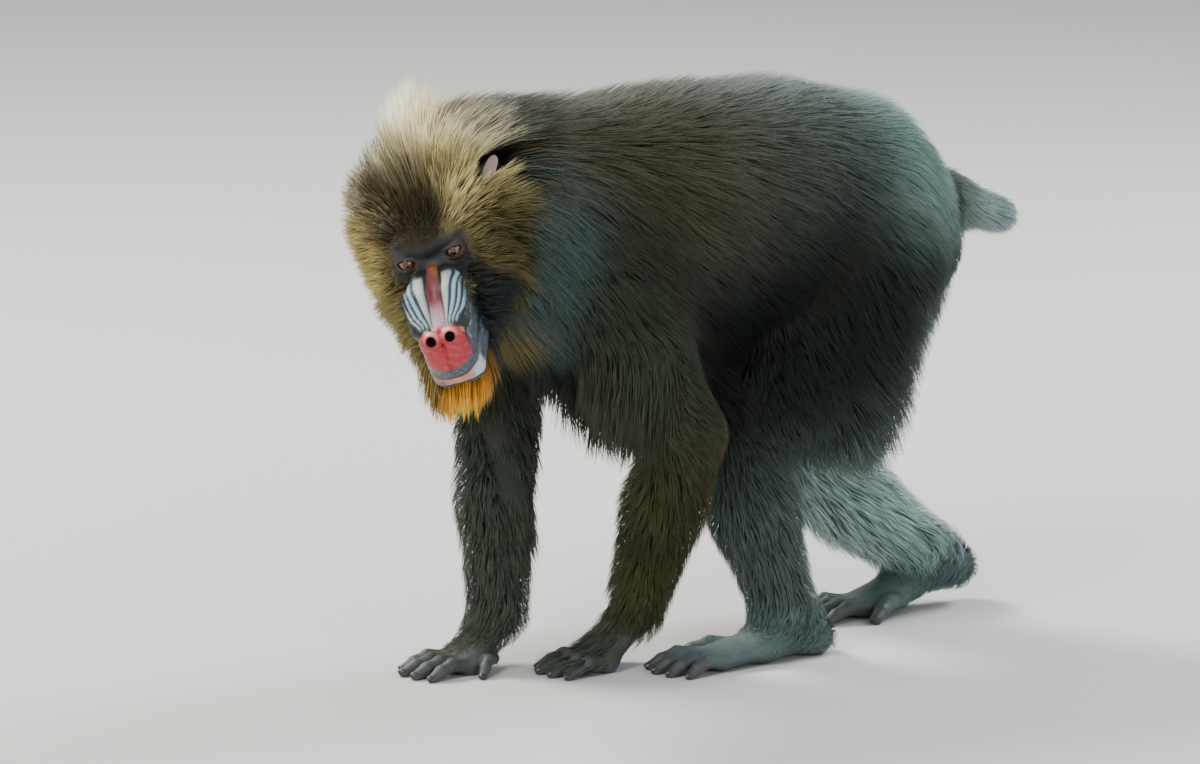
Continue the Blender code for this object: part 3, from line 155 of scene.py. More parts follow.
class Form:
    """A tapered tube with elliptic sections from a to b, with the depth of coat over it at each end."""

    def __init__(self, a, b, radii_a, radii_b, side, coat=(0.0, 0.0), blend=2.0):
        self.a, self.b = np.asarray(a, float), np.asarray(b, float)
        self.coat = coat
        self.skin_a, self.skin_b = np.array(radii_a) * CM, np.array(radii_b) * CM
        axis = self.b - self.a
        self.length = max(np.linalg.norm(axis), 1e-6)
        self.axis = axis / self.length
        self.side = unit(np.asarray(side, float) - self.axis * np.dot(side, self.axis))
        self.deep = np.cross(self.axis, self.side)
        self.blend = blend * CM

    def radii(self, share):
        """The radii at both ends, with this share of the coat."""
        return self.skin_a + self.coat[0] * share * CM, self.skin_b + self.coat[1] * share * CM

    def box(self, share):
        first, last = self.radii(share)
        reach = max(first.max(), last.max()) + self.blend
        return np.minimum(self.a, self.b) - reach, np.maximum(self.a, self.b) + reach

    def distance(self, points, share):
        rel = points - self.a
        run = rel @ self.axis
        part = np.clip(run / self.length, 0, 1)
        past = run - part * self.length
        first, last = self.radii(share)
        wide = first[0] + (last[0] - first[0]) * part
        deep = first[1] + (last[1] - first[1]) * part
        x, y, z = rel @ self.side / wide, rel @ self.deep / deep, past * 2 / (wide + deep)
        near = np.sqrt(x * x + y * y + z * z)
        slope = np.sqrt((x / wide) ** 2 + (y / deep) ** 2 + (z * 2 / (wide + deep)) ** 2)
        return near * (near - 1) / np.maximum(slope, 1e-6)


def blend_pair(first, second, width):
    """The nearer of two distances, rounded where both are alike."""
    share = np.maximum(width - np.abs(first - second), 0) / width
    return np.minimum(first, second) - share * share * width / 4


def field_of(forms, share=0.0, far=0.2, reach=0.01):
    """The distance to the blended forms, with this share of their coat."""
    boxes = [form.box(share) for form in forms]

    def distance(points):
        total = np.full(len(points), far)
        for form, (low, high) in zip(forms, boxes):
            inside = np.flatnonzero(((points >= low - reach) & (points <= high + reach)).all(axis=1))
            if len(inside):
                found = form.distance(points[inside], share)
                total[inside] = blend_pair(total[inside], found, form.blend)
        return total

    return distance


LIMB_BLEND = 2.2
TAIL_BLEND = 1.6


def joined(trunk, limb, width=LIMB_BLEND):
    """Trunk and limb as one field, blended over this width in centimetres."""
    return lambda points: blend_pair(trunk(points), limb(points), width * CM)


def both(*fields):
    return lambda points: np.minimum.reduce([field(points) for field in fields])


def chain(stations, side, blend=2.0):
    """Forms from station to station. Each station is a place, its radii and its coat's depth."""
    return [
        Form(a, b, radii_a, radii_b, side, (coat_a, coat_b), blend)
        for (a, radii_a, coat_a), (b, radii_b, coat_b) in zip(stations[:-1], stations[1:])
    ]


def torso_forms():
    spine = [
        (at(-25.8, 0, 46.8), (6.4, 6.6), 2.2),
        (at(-20.5, 0, 49.6), (8.6, 8.8), 2.8),
        (at(-11, 0, 49.4), (9.6, 11.0), 3.4),
        (at(0, 0, 48.4), (9.8, 12.2), 3.6),
        (at(9, 0, 47.2), (9.6, 12.8), 3.8),
        (at(16.5, 0.2, 48.2), (8.4, 10.8), 4.4),
        (at(21, 0.4, 50.8), (7.0, 8.8), 5.0),
    ]
    chest_mane = Form(at(10, 0, 40), at(9.5, 1.0, 30.5), (5.5, 6.0), (1.2, 3.5), LEFT, (3.5, 5.5), 4.0)
    seat = Form(at(-29, -3, 42.5), at(-29, 3, 42.5), (3.6, 3.4), (3.6, 3.4), AHEAD, (0.8, 0.8), 3.0)
    fold = ((2.6, 3.0), (1.8, 2.2), LEFT, (1.6, 1.6), 3.0)
    folds = [Form(at(2.5, 4.5 * way, 38), at(-0.5, 5.6 * way, 29.5), *fold) for way in SIDES]
    return chain(spine, LEFT, 3.0) + [chest_mane, seat] + folds


def neck_forms():
    stations = [
        (at(19, 0.2, 50.5), (7.4, 8.6), 4.8),
        (at(26, -0.6, 52.5), (5.8, 6.8), 5.2),
        (at(31, -0.8, 53.0), (5.6, 6.0), 4.8),
    ]
    return chain(stations, LEFT, 3.0)


def head_form(a, b, radii_a, radii_b, coat=(0.0, 0.0), blend=2.0):
    return Form(a, b, radii_a, radii_b, HEAD_LEFT, coat, blend)


def half_head_forms(way):
    """Brow, cheekbone, swelling, nostril wing, jaw and lip of one side."""
    brow = [
        (skull(4.3 * way, -2.6, 0.9), (0.9, 0.9), 0.0),
        (skull(2.4 * way, -0.7, 1.75), (0.95, 0.85), 0.0),
        (skull(0, -0.4, 1.55), (0.95, 0.8), 0.0),
    ]
    swelling = [
        (snout(1.5 * way, 2.3, -0.5), (1.2, 0.9), 0.0),
        (snout(2.0 * way, 5.0, -0.2), (1.75, 1.2), 0.0),
        (snout(1.75 * way, 8.6, -0.5), (1.5, 1.1), 0.0),
    ]
    cheekbone = head_form(
        skull(4.4 * way, -3.0, -1.4), skull(5.0 * way, -8.5, -1.6), (1.5, 1.9), (1.6, 2.4), (0.2, 0.8), 1.6)
    wing = head_form(
        snout(1.25 * way, 10.3, -0.7), snout(1.2 * way, 11.2, -2.4), (1.4, 1.3), (1.3, 1.1), blend=0.5)
    jaw = head_form(
        snout(1.4 * way, 11.2, -5.8), snout(4.0 * way, -3.5, -7.4), (1.5, 1.3), (1.5, 1.9), (0.0, 0.8), 1.2)
    lip = head_form(snout(0, 12.1, -4.9), snout(2.7 * way, 7.6, -4.9), (0.8, 0.7), (0.6, 0.6), blend=0.5)
    return [*chain(brow, UP, 0.9), cheekbone, *chain(swelling, HEAD_LEFT, 0.6), wing, jaw, lip]


def head_forms():
    """Braincase, brow, cheekbones, muzzle with its swellings, nose and jaw."""
    return [
        head_form(skull(0, -9.5, 1.6), skull(0, -4.5, 1.2), (5.4, 5.2), (4.8, 4.4), (1.0, 0.3)),
        head_form(snout(0, 1.0, -4.0), snout(0, 10.4, -3.4), (3.5, 3.7), (2.75, 3.1), blend=1.2),
        head_form(snout(0, -4.0, -6.0), snout(0, 4.0, -5.6), (4.4, 3.6), (3.2, 2.8), (0.8, 0.2)),
        *half_head_forms(-1),
        *half_head_forms(1),
        head_form(snout(0, 1.5, -0.5), snout(0, 10.6, -0.2), (0.6, 0.6), (0.75, 0.7), blend=0.4),
        head_form(snout(0, 10.9, -3.6), snout(0, 10.9, -4.2), (2.3, 1.0), (2.3, 0.8), blend=0.8),
    ]


def offset(forward, left, height):
    """A shift in centimetres, as a vector in metres."""
    return np.array([left, -forward, height]) * CM


def head_coat_forms():
    """The outside of the crest, nape, cheek ruffs, beard and throat hair."""
    forms = [
        head_form(skull(0, -7.0, 3.2), skull(0, -9.0, 9.5), (3.6, 3.4), (0.6, 0.6), (2.2, 2.2)),
        head_form(skull(0, -6.6, 5.0), skull(-0.6, -9.4, 16.2), (2.6, 2.4), (0.3, 0.5), (1.6, 1.0)),
        head_form(skull(0, -11.0, 2.0), skull(0, -12.0, -3.0), (4.6, 3.4), (4.8, 3.4), (4.0, 4.0), 2.5),
    ]
    for way in SIDES:
        cheek = (skull(4.2 * way, -8.0, 1.5), skull(4.6 * way, -6.5, -5.5))
        jaw = (snout(3.4 * way, -1.0, -5.6), snout(3.4 * way, 4.5, -7.4))
        forms.append(head_form(*cheek, (2.2, 2.6), (1.8, 2.0), (3.2, 3.2)))
        forms.append(head_form(*jaw, (1.4, 1.6), (1.0, 0.9), (3.2, 2.8), 1.6))
    chin, throat = snout(0, 8.0, -7.2), snout(0, 1.5, -8.0)
    return forms + [
        head_form(chin, chin + offset(-1.5, 0.5, -4.5), (1.2, 1.0), (0.3, 0.3), (1.6, 1.2), 1.5),
        head_form(throat, throat + offset(-2.5, -0.5, -3.0), (2.6, 2.0), (1.2, 1.0), (2.4, 2.4)),
    ]


def tail_forms():
    stations = [
        (at(-29, 0, 47.0), (3.0, 2.6), 0.8),
        (at(-34, 0, 48.2), (2.0, 1.8), 0.8),
        (at(-41, 0, 45.8), (0.9, 0.9), 1.0),
    ]
    return chain(stations, LEFT, 1.6)


class Limb:
    """The joints of one limb, and its forms."""

    def __init__(self, radii, coats, *joints):
        self.top, self.middle, self.end = joints
        top, mid, low = radii
        upper_coat, joint_coat, low_coat = coats
        half_top = np.array(top) * 0.4 + np.array(mid) * 0.6
        half_low = np.array(mid) * 0.75 + np.array(low) * 0.25
        stations = [
            (self.top, top, upper_coat),
            (self.top * 0.5 + self.middle * 0.5, half_top, upper_coat),
            (self.middle, mid, joint_coat),
            (self.middle * 0.62 + self.end * 0.38, half_low, low_coat),
            (self.end, low, low_coat * 0.8),
        ]
        self.forms = chain(stations, LEFT, 2.0)


FINGERS = 4
FINGER_SPREAD = math.radians(4)
FINGER_PITCH = 1.5
ROOT_FORWARD = 0.6
ROOT_HEIGHT = 1.15
INNER_HEIGHT = 1.5
PALM_LENGTH = 4.6
PALM_HEIGHT = 1.2
PALM_HALF_WIDTH = 1.6
SOLE_LENGTH = 13.0
SOLE_MIDDLE = 7.0
BALL_HEIGHT = 1.1
ARCH_HEIGHT = 1.9
# Length and radius of each digit.
THUMB = (3.8, 0.66)
GREAT_TOE = (6.6, 0.92)
FINGER_SIZES = ((5.0, 0.76), (6.2, 0.82), (6.0, 0.82), (5.2, 0.74))
TOE_SIZES = ((5.0, 0.74), (6.2, 0.82), (6.6, 0.84), (6.0, 0.8))


def digit(root, heading, reach, radius, rise):
    """A bent finger or toe in three bones, with its tip on the floor."""
    knuckle = root + heading * reach * 0.45 * CM + UP * rise * CM
    tip = root + heading * reach * CM
    tip[2] = (radius * 0.55) * CM
    knuckle[2] = max(knuckle[2], radius * 0.9 * CM)
    middle = knuckle * 0.42 + tip * 0.58 + UP * 0.12 * CM
    return [
        Form(root, knuckle, (radius * 1.08,) * 2, (radius * 1.04,) * 2, LEFT, blend=0.5),
        Form(knuckle, middle, (radius * 0.98,) * 2, (radius * 0.9,) * 2, LEFT, blend=0.3),
        Form(middle, tip, (radius * 0.92,) * 2, (radius * 0.8, radius * 0.7), LEFT, blend=0.3),
    ]


def turned(heading, angle):
    """A level heading turned about the vertical."""
    cosine, sine = math.cos(angle), math.sin(angle)
    return np.array([heading[0] * cosine - heading[1] * sine, heading[0] * sine + heading[1] * cosine, 0.0])


def digit_row(start, heading, sizes, order, rise):
    """Four digits side by side, as forms and as tips with their headings and radii."""
    across = np.cross(UP, heading)
    forms, tips = [], []
    for (reach, radius), index in zip(sizes, order):
        place = (index - (FINGERS - 1) / 2) * FINGER_PITCH
        way_out = turned(heading, place * FINGER_SPREAD)
        root = start + across * place * CM + heading * ROOT_FORWARD * CM
        root[2] = ROOT_HEIGHT * CM
        forms += digit(root, way_out, reach, radius, rise)
        tips.append((root + way_out * reach * CM, way_out, radius))
    return forms, tips


class Hand:
    """Palm raised behind, four fingers flat on the floor and a short thumb on the inner side."""

    def __init__(self, way, wrist, heading):
        self.heading = unit(heading)
        across = np.cross(UP, self.heading)
        pad = wrist + self.heading * PALM_LENGTH * CM
        pad[2] = PALM_HEIGHT * CM
        reach = across * PALM_HALF_WIDTH * CM
        self.forms = [
            Form(wrist, pad, (2.3, 1.9), (3.0, 1.4), across, (1.3, 0.3), 1.2),
            Form(pad - reach, pad + reach, (1.4, 1.5), (1.4, 1.5), self.heading, blend=0.8),
        ]
        fingers, self.tips = digit_row(pad, self.heading, FINGER_SIZES, range(FINGERS), 0.35)
        inner = -across * way
        root = pad + inner * 2.2 * CM - self.heading * 2.6 * CM
        root[2] = INNER_HEIGHT * CM
        aim = unit(self.heading * 0.8 + inner * 0.7)
        self.forms += fingers + digit(root, aim, *THUMB, 0.2)
        self.tips.append((root + aim * THUMB[0] * CM, aim, THUMB[1]))


class Foot:
    """A long sole from the heel, four toes and an opposed great toe on the inner side."""

    def __init__(self, way, ankle, heel, heading, lift):
        self.heading = unit(heading)
        across = np.cross(UP, self.heading)
        ball = heel + self.heading * SOLE_LENGTH * CM
        ball[2] = BALL_HEIGHT * CM
        mid = heel + self.heading * SOLE_MIDDLE * CM
        mid[2] = (ARCH_HEIGHT + lift * 0.45) * CM
        inner = -across * way
        self.forms = [
            Form(ankle, heel, (2.5, 2.7), (2.3, 2.1), across, (1.4, 1.0), 1.6),
            Form(ankle, mid, (2.5, 2.3), (2.7, 1.7), across, (1.2, 0.3), 1.4),
            Form(heel, mid, (2.2, 1.9), (2.5, 1.5), across, (0.1, 0.0), 1.2),
            Form(mid, ball, (2.7, 1.6), (3.0, 1.35), across, blend=1.2),
        ]
        order = range(FINGERS) if way < 0 else range(FINGERS - 1, -1, -1)
        toes, self.tips = digit_row(ball, self.heading, TOE_SIZES, order, 0.45)
        root = heel + self.heading * 8.6 * CM + inner * 2.0 * CM
        root[2] = INNER_HEIGHT * CM
        aim = unit(self.heading * 0.86 + inner * 0.5)
        self.forms += toes + digit(root, aim, *GREAT_TOE, 0.3)
        self.tips.append((root + aim * GREAT_TOE[0] * CM, aim, GREAT_TOE[1]))


ARM_RADII = ((4.4, 5.6), (3.3, 3.6), (2.3, 2.1))
LEG_RADII = ((5.8, 8.6), (3.9, 4.2), (2.4, 2.5))
# The joints of each limb from its top to the wrist or ankle, and the coat's depth along it.
ARM_L = Limb(ARM_RADII, (1.8, 1.2, 2.0), at(16, 8.6, 45), at(7.2, 11.8, 27.0), at(8.4, 3.0, 5.5))
ARM_R = Limb(ARM_RADII, (1.8, 1.3, 2.0), at(18, -8.4, 45.5), at(18.6, -9.2, 25.5), at(21.8, -3.6, 5.6))
LEG_L = Limb(LEG_RADII, (2.4, 1.2, 1.8), at(-18.5, 7.0, 43.5), at(-3.0, 5.8, 23.4), at(-8.0, 8.4, 5.0))
LEG_R = Limb(LEG_RADII, (2.4, 1.4, 2.2), at(-18.5, -7.0, 43.5), at(-20.5, -8.2, 17.0), at(-35.8, -6.2, 6.2))
HAND_L = Hand(1, ARM_L.end, along(1, 0.05, 0))
HAND_R = Hand(-1, ARM_R.end, along(1, 0.05, 0))
FOOT_L = Foot(1, LEG_L.end, at(-11.4, 8.3, 2.0), along(1, 0.08, 0), 0.0)
FOOT_R = Foot(-1, LEG_R.end, at(-39.3, -6.4, 4.2), along(1, 0.05, 0), 2.2)

# Long hair hangs behind each thigh and under the far calf.
THIGH_FRINGE = ((3.6, 4.2), (2.2, 2.8), LEFT, (3.0, 6.0), 2.5)
CALF_FRINGE = ((1.6, 1.8), (1.4, 1.4), LEFT, (2.6, 1.8), 1.6)
LEG_L.forms.append(Form(at(-22.5, 6.2, 41), at(-16.5, 6.0, 26.5), *THIGH_FRINGE))
LEG_R.forms.append(Form(at(-22.5, -6.2, 41), at(-22.5, -7.8, 25.0), *THIGH_FRINGE))
LEG_R.forms.append(Form(at(-22, -8.0, 14.5), at(-32, -6.6, 7.0), *CALF_FRINGE))
LIMBS = {
    "arm_left": (ARM_L, HAND_L),
    "arm_right": (ARM_R, HAND_R),
    "leg_left": (LEG_L, FOOT_L),
    "leg_right": (LEG_R, FOOT_R),
}


def body_field(share):
    """The whole animal with this share of its coat: 0 is the bare skin and 1 the outside of the coat."""
    trunk = torso_forms() + neck_forms() + head_forms()
    if share:
        trunk += head_coat_forms()
    trunk_field = field_of(trunk, share)
    limbs = [joined(trunk_field, field_of(limb.forms + end.forms, share)) for limb, end in LIMBS.values()]
    return both(*limbs, joined(trunk_field, field_of(tail_forms(), share), TAIL_BLEND))


# Face and ears

def carve(field, tool, width):
    """The first form less the second, with a rounded edge."""
    return -blend_pair(-field, tool, width)


def ellipsoid(points, centre, axes, radii):
    """The distance to an ellipsoid with radii in centimetres."""
    rel = (points - centre) / CM
    parts = np.stack([rel @ axis for axis in axes], axis=1)
    near = np.linalg.norm(parts / radii, axis=1)
    slope = np.linalg.norm(parts / np.array(radii) ** 2, axis=1)
    return near * (near - 1) / np.maximum(slope, 1e-6) * CM


def eye_centre(way):
    return skull(EYE_SPACING / 2 * way, -EYE_DEPTH, 0.0)


def slit_axes(way):
    """The eye opening's own axes: its outer corner sits a little higher."""
    tilt = unit(HEAD_LEFT * way * 0.97 + CROWN * 0.24)
    return tilt, np.cross(GAZE, tilt) * way, GAZE


RIDGES = 3.4


def nostril(way):
    """The centre of a nostril and its axes: along its length, across it and outwards."""
    out = unit(MUZZLE * 0.68 + MUZZLE_UP * 0.72 + HEAD_LEFT * 0.12 * way)
    long = unit(HEAD_LEFT * way - MUZZLE_UP * 0.35 + MUZZLE * 0.2)
    long = unit(long - out * np.dot(long, out))
    return snout(NOSTRIL_SPACING / 2 * way, NOSTRIL_FORWARD, NOSTRIL_RISE), (long, np.cross(out, long), out)


def ridge_share(left, forward):
    """The share of the way across a cheek swelling, and of the way up it, for ridges that fan outwards."""
    top = np.clip((8.9 - forward) / 6.0, 0, 1)
    inner = 0.85 + 0.25 * top
    bow = np.sin(np.pi * np.clip((forward - 2.0) / 7.5, 0, 1))
    wide = 1.75 + 0.85 * top + 0.4 * bow - 0.45 * ramp(forward, 7.5, 9.3)
    return (np.abs(left) - inner) / wide, top


def ridge_wave(share, top):
    """From 0 on the crest of a ridge to 1 in a groove. The grooves crowd together towards the nose."""
    turn = RIDGES * np.clip(share, 0, 1.2) ** (1 + 1.7 * top)
    return 0.5 - 0.5 * np.cos(2 * np.pi * turn)


def on_swelling(points):
    """How far a place belongs to the ridged cheek swellings, and its ridge coordinate."""
    left, forward, up = in_snout(points)
    share, top = ridge_share(left, forward)
    strength = ramp(share, -0.05, 0.03) * fall(share, 0.98, 1.08)
    start = 2.2 + 1.5 * np.clip(share - 0.45, 0, 1) ** 2
    strength *= ramp(forward - start, 0, 0.7) * fall(forward, 9.0, 9.5) * ramp(up, -3.0, -2.0)
    return strength, share, ridge_wave(share, top)


def mouth_line(run):
    """The height of the mouth line off the muzzle's back. run is -1 and 1 at the muzzle's sides."""
    return -3.95 - 0.35 * run**2 + 0.1 * np.cos(3 * np.pi * run)


def lips_and_folds(points, value):
    """The mouth line with the lips that roll out on both sides of it, and the fold under the lower lip."""
    left, forward, up = in_snout(points)
    run = np.clip(left / LIP_HALF, -1, 1)
    off = np.sqrt((up - mouth_line(run)) ** 2 + 0.02)
    reach = ramp(forward, 3.8, 5.6)
    value = value + reach * (bump_at(off, 0, 0.2) * 0.34 - bump_at(off, 0.45, 0.3) * 0.10) * CM
    fold = ramp(forward, 8.6, 10.0) * bump_at(up, -5.95 - 0.1 * run**2, 0.22) * fall(np.abs(left), 2.0, 2.8)
    return value + fold * 0.16 * CM


def wrinkles(points, value):
    """Folds of skin from the inner corners of the eyes, and fine wrinkles beside the muzzle."""
    left, forward, up = in_snout(points)
    side, front, high = in_skull(points)
    for way in SIDES:
        wave = np.sin((high + 0.35 * side * way) * 9.0)
        wrinkle = wave * bump_at(side * way, 2.9, 1.3) * bump_at(high, -1.7, 0.8)
        value = value + wrinkle * ramp(front, -2.5, -1.5) * 0.035 * CM
    wave = np.sin(forward * 7.0 + 2 * np.sin(up * 2.2))
    wrinkle = wave * ramp(np.abs(left), 1.6, 2.6) * ramp(forward, 3.0, 5.0)
    return value + wrinkle * fall(forward, 9.5, 10.5) * 0.018 * CM


def lid(points, value, way):
    """A shell round the eye that an almond opening cuts, with a crease above it and room for the eyeball."""
    centre = eye_centre(way)
    rel = (points - centre) / CM
    near = np.linalg.norm(rel, axis=1)
    value = blend_pair(value, (near - EYE_RADIUS - LID_THICKNESS) * CM, 0.35 * CM)
    across, raised, out = slit_axes(way)
    opening = ellipsoid(points, centre + GAZE * 1.0 * CM, (across, raised, out), (1.02, 0.52, 0.85))
    value = carve(value, opening, 0.06 * CM)
    crease = bump_at(rel @ raised, 0.92, 0.1) * ramp(rel @ out, 0.3, 0.6)
    value = value + crease * fall(np.abs(rel @ across), 0.8, 1.2) * 0.07 * CM
    return np.maximum(value, (EYE_RADIUS + EYE_ROOM - near) * CM)


def face_detail(points, value):
    """Adds lids, nostrils, mouth, ridges and folds to the head's field."""
    left, forward, up = in_snout(points)
    # The back of the nose is a smooth keel between two valleys.
    valley = bump_at(np.abs(left), 0.92, 0.22) * ramp(forward, 2.0, 3.2) * fall(forward, 9.0, 9.8)
    value = value + valley * ramp(up, -1.2, -0.4) * 0.14 * CM
    strength, _, groove = on_swelling(points)
    value = value + strength * (groove**2 * 0.17 - 0.06) * CM
    # Nose pad: a median groove and a rounded rim round each nostril.
    pad = ramp(forward, 9.6, 10.4) * fall(-up, 3.0, 3.5)
    value = value + bump_at(left, 0, 0.15) * pad * 0.26 * CM
    for way in SIDES:
        centre, axes = nostril(way)
        rim = ellipsoid(points, centre - axes[2] * 0.45 * CM, axes, (0.82, 0.86, 0.8))
        value = blend_pair(value, rim, 0.5 * CM)
        value = carve(value, ellipsoid(points, centre, axes, (0.5, 0.56, 1.1)), 0.14 * CM)
    value = wrinkles(points, lips_and_folds(points, value))
    for way in SIDES:
        value = lid(points, value, way)
    return value


def ear_axis(way):
    if way > 0:
        return skull(5.0, -9.0, 1.8), skull(8.6, -10.0, 5.8)
    return skull(-5.0, -9.0, 1.8), skull(-7.6, -10.4, 5.4)


def ear_sides(way):
    root, tip = ear_axis(way)
    axis = unit(tip - root)
    front = unit(GAZE - axis * np.dot(GAZE, axis))
    return axis, front, np.cross(axis, front)


def ear_field(points, way):
    """A cupped leaf with a rolled rim, nearly pointed at its top."""
    root, tip = ear_axis(way)
    axis, front, across = ear_sides(way)
    wide = GAZE * 0.6 + HEAD_LEFT * way * 0.3 + CROWN * 0.2
    leaf = Form(root, tip - (tip - root) * 0.2, (1.95, 1.1), (1.5, 0.62), wide, blend=0.8)
    middle = tip - axis * 0.75 * CM + front * 0.72 * CM
    cup = ellipsoid(points, middle, (across, axis, front), (1.0, 1.5, 0.78))
    return carve(leaf.distance(points, 0), cup, 0.15 * CM)


def on_ear(points, way):
    """1 on the bare upper leaf of an ear."""
    root, tip = ear_axis(way)
    axis = ear_sides(way)[0]
    near = np.linalg.norm(points - (root + tip) / 2, axis=1) < 0.06
    share = np.zeros(len(points))
    spots = np.flatnonzero(near)
    if len(spots):
        leaf = ear_field(points[spots], way) / CM
        share[spots] = fall(leaf, 0.1, 0.25) * ramp((points[spots] - root) @ axis / CM, 2.0, 2.8)
    return share


def head_field():
    """The bare head and neck with all of the face's detail."""
    bones = field_of(neck_forms() + torso_forms()[4:7] + head_forms())

    def distance(points):
        value = bones(points)
        for way in SIDES:
            low, high = span(list(ear_axis(way)), 3)
            inside = np.flatnonzero(((points > low) & (points < high)).all(axis=1))
            if len(inside):
                value[inside] = blend_pair(value[inside], ear_field(points[inside], way), 0.5 * CM)
        _, front, _ = in_skull(points)
        near = np.flatnonzero((front > -6) & (np.abs(value) < 0.03))
        if len(near):
            value[near] = face_detail(points[near], value[near])
        return value

    return distance


def span(points, margin):
    points = np.array(points)
    return points.min(axis=0) - margin * CM, points.max(axis=0) + margin * CM


# Meshing

def slope_of(field, points, step=0.0004):
    slope = np.empty_like(points)
    for axis in range(3):
        shift = np.zeros(3)
        shift[axis] = step
        slope[:, axis] = (field(points + shift) - field(points - shift)) / (2 * step)
    return slope


def settle(field, points, cell, rounds=2):
    """Moves points onto the field's zero surface, each by less than half a cell."""
    for _ in range(rounds):
        slope = slope_of(field, points, min(0.0004, cell * 0.2))
        value = field(points)
        move = -slope * (value / np.maximum((slope**2).sum(axis=1), 0.05))[:, None]
        length = np.linalg.norm(move, axis=1, keepdims=True)
        points = points + move * np.minimum(1, 0.4 * cell / np.maximum(length, 1e-9))
    return points


def part_of(values, **ends):
    """The grid without its last (0) or first (1) layer along each named axis: x, y or z."""
    cut = [slice(None)] * 3
    for axis, end in ends.items():
        size = values.shape["xyz".index(axis)]
        cut["xyz".index(axis)] = slice(end, size - 1 + end)
    return values[tuple(cut)]


def open_checkered_faces(values, rounds=12):
    """Turns a corner outwards where a cell face has its inner corners on a diagonal.

    Such a face would pinch an edge of the surface.
    """
    for _ in range(rounds):
        found = 0
        for a, b in ("xy", "xz", "yz"):
            corner = {steps: part_of(values, **{a: steps[0], b: steps[1]})
                      for steps in ((0, 0), (0, 1), (1, 0), (1, 1))}
            for first, second in (((0, 0), (1, 1)), ((0, 1), (1, 0))):
                others = [corner[key] for key in corner if key not in (first, second)]
                bad = (corner[first] < 0) & (corner[second] < 0) & (others[0] >= 0) & (others[1] >= 0)
                found += int(bad.sum())
                corner[first][bad] = 1e-5
        if not found:
            return


COARSE = 5
NEAR_BLOCKS = 1.8


def band_values(field, low, shape, cell):
    """The field on a grid, worked out in full only near its surface."""
    blocks = -(-(shape - 1) // COARSE) + 1
    axes = [low[i] + cell * COARSE * np.arange(blocks[i]) for i in range(3)]
    rough = field(np.stack(np.meshgrid(*axes, indexing="ij"), axis=-1).reshape(-1, 3)).reshape(blocks)
    near = np.abs(rough) < cell * COARSE * NEAR_BLOCKS
    grown = near.copy()
    for axis in range(3):
        for step in (1, -1):
            grown |= np.roll(near, step, axis)

    def fine(blocky):
        for axis in range(3):
            blocky = np.repeat(blocky, COARSE, axis)
        return blocky[: shape[0], : shape[1], : shape[2]].copy()

    values, wanted = fine(rough), fine(grown)
    values[wanted] = field(low + np.argwhere(wanted) * cell)
    return values


def crossings(values, axis):
    """The grid edges along an axis that cross the surface: cells, places, and whether they start inside."""
    start, stop = (part_of(values, **{"xyz"[axis]: end}) for end in (0, 1))
    crossing = (start < 0) != (stop < 0)
    spots = np.argwhere(crossing)
    start, stop = start[crossing], stop[crossing]
    places = spots.astype(float)
    places[:, axis] += start / (start - stop)
    return spots, places, start < 0


def surface_net(field, low, high, cell):
    """Points and four-sided faces of the field's zero surface in a box, closed at the box's walls."""
    low, high = np.asarray(low, float), np.asarray(high, float)
    shape = np.ceil((high - low) / cell).astype(int) + 1
    values = band_values(field, low, shape, cell)
    for axis in range(3):
        wall = [slice(None)] * 3
        for end in (0, -1):
            wall[axis] = end
            values[tuple(wall)] = np.maximum(values[tuple(wall)], cell * 0.5)
    open_checkered_faces(values)
    cells = shape - 1
    total = np.zeros((cells.prod(), 3))
    count = np.zeros(cells.prod())
    quads = []
    strides = np.array([cells[1] * cells[2], cells[2], 1])
    for axis in range(3):
        spots, places, from_inside = crossings(values, axis)
        side_a, side_b = [i for i in range(3) if i != axis]
        around = []
        for step_a, step_b in ((0, 0), (-1, 0), (-1, -1), (0, -1)):
            near = spots.copy()
            near[:, side_a] += step_a
            near[:, side_b] += step_b
            index = near @ strides
            for part in range(3):
                total[:, part] += np.bincount(index, places[:, part], len(total))
            count += np.bincount(index, minlength=len(count))
            around.append(index)
        faces = np.stack(around, axis=1)
        outward = from_inside == (axis != 1)
        faces[~outward] = faces[~outward][:, ::-1]
        quads.append(faces)
    used = count > 0
    number = np.cumsum(used) - 1
    points = low + total[used] / count[used][:, None] * cell
    return settle(field, points, cell), number[np.concatenate(quads)]


def mesh_of(name, points, faces):
    """A mesh from arrays of points and of faces that all have the same number of corners."""
    mesh = bpy.data.meshes.new(name)
    corners = faces.shape[1]
    mesh.vertices.add(len(points))
    mesh.vertices.foreach_set("co", np.asarray(points, np.float32).ravel())
    mesh.loops.add(faces.size)
    mesh.loops.foreach_set("vertex_index", faces.astype(np.int32).ravel())
    mesh.polygons.add(len(faces))
    mesh.polygons.foreach_set("loop_start", np.arange(0, faces.size, corners, dtype=np.int32))
    mesh.update(calc_edges=True)
    mesh.validate()
    return mesh


def object_of(name, mesh):
    """An object in the scene with this mesh, camera or lamp."""
    obj = bpy.data.objects.new(name, mesh)
    bpy.context.scene.collection.objects.link(obj)
    return obj


def facing_out(mesh):
    """Turns all faces of a mesh outwards."""
    shape = bmesh.new()
    shape.from_mesh(mesh)
    bmesh.ops.recalc_face_normals(shape, faces=shape.faces[:])
    shape.to_mesh(mesh)
    shape.free()
    mesh.shade_smooth()


def points_of(mesh):
    points = np.empty(len(mesh.vertices) * 3, np.float32)
    mesh.vertices.foreach_get("co", points)
    return points.reshape(-1, 3).astype(float)


def apply_modifiers(obj):
    graph = bpy.context.evaluated_depsgraph_get()
    mesh = bpy.data.meshes.new_from_object(obj.evaluated_get(graph))
    obj.modifiers.clear()
    obj.data = mesh


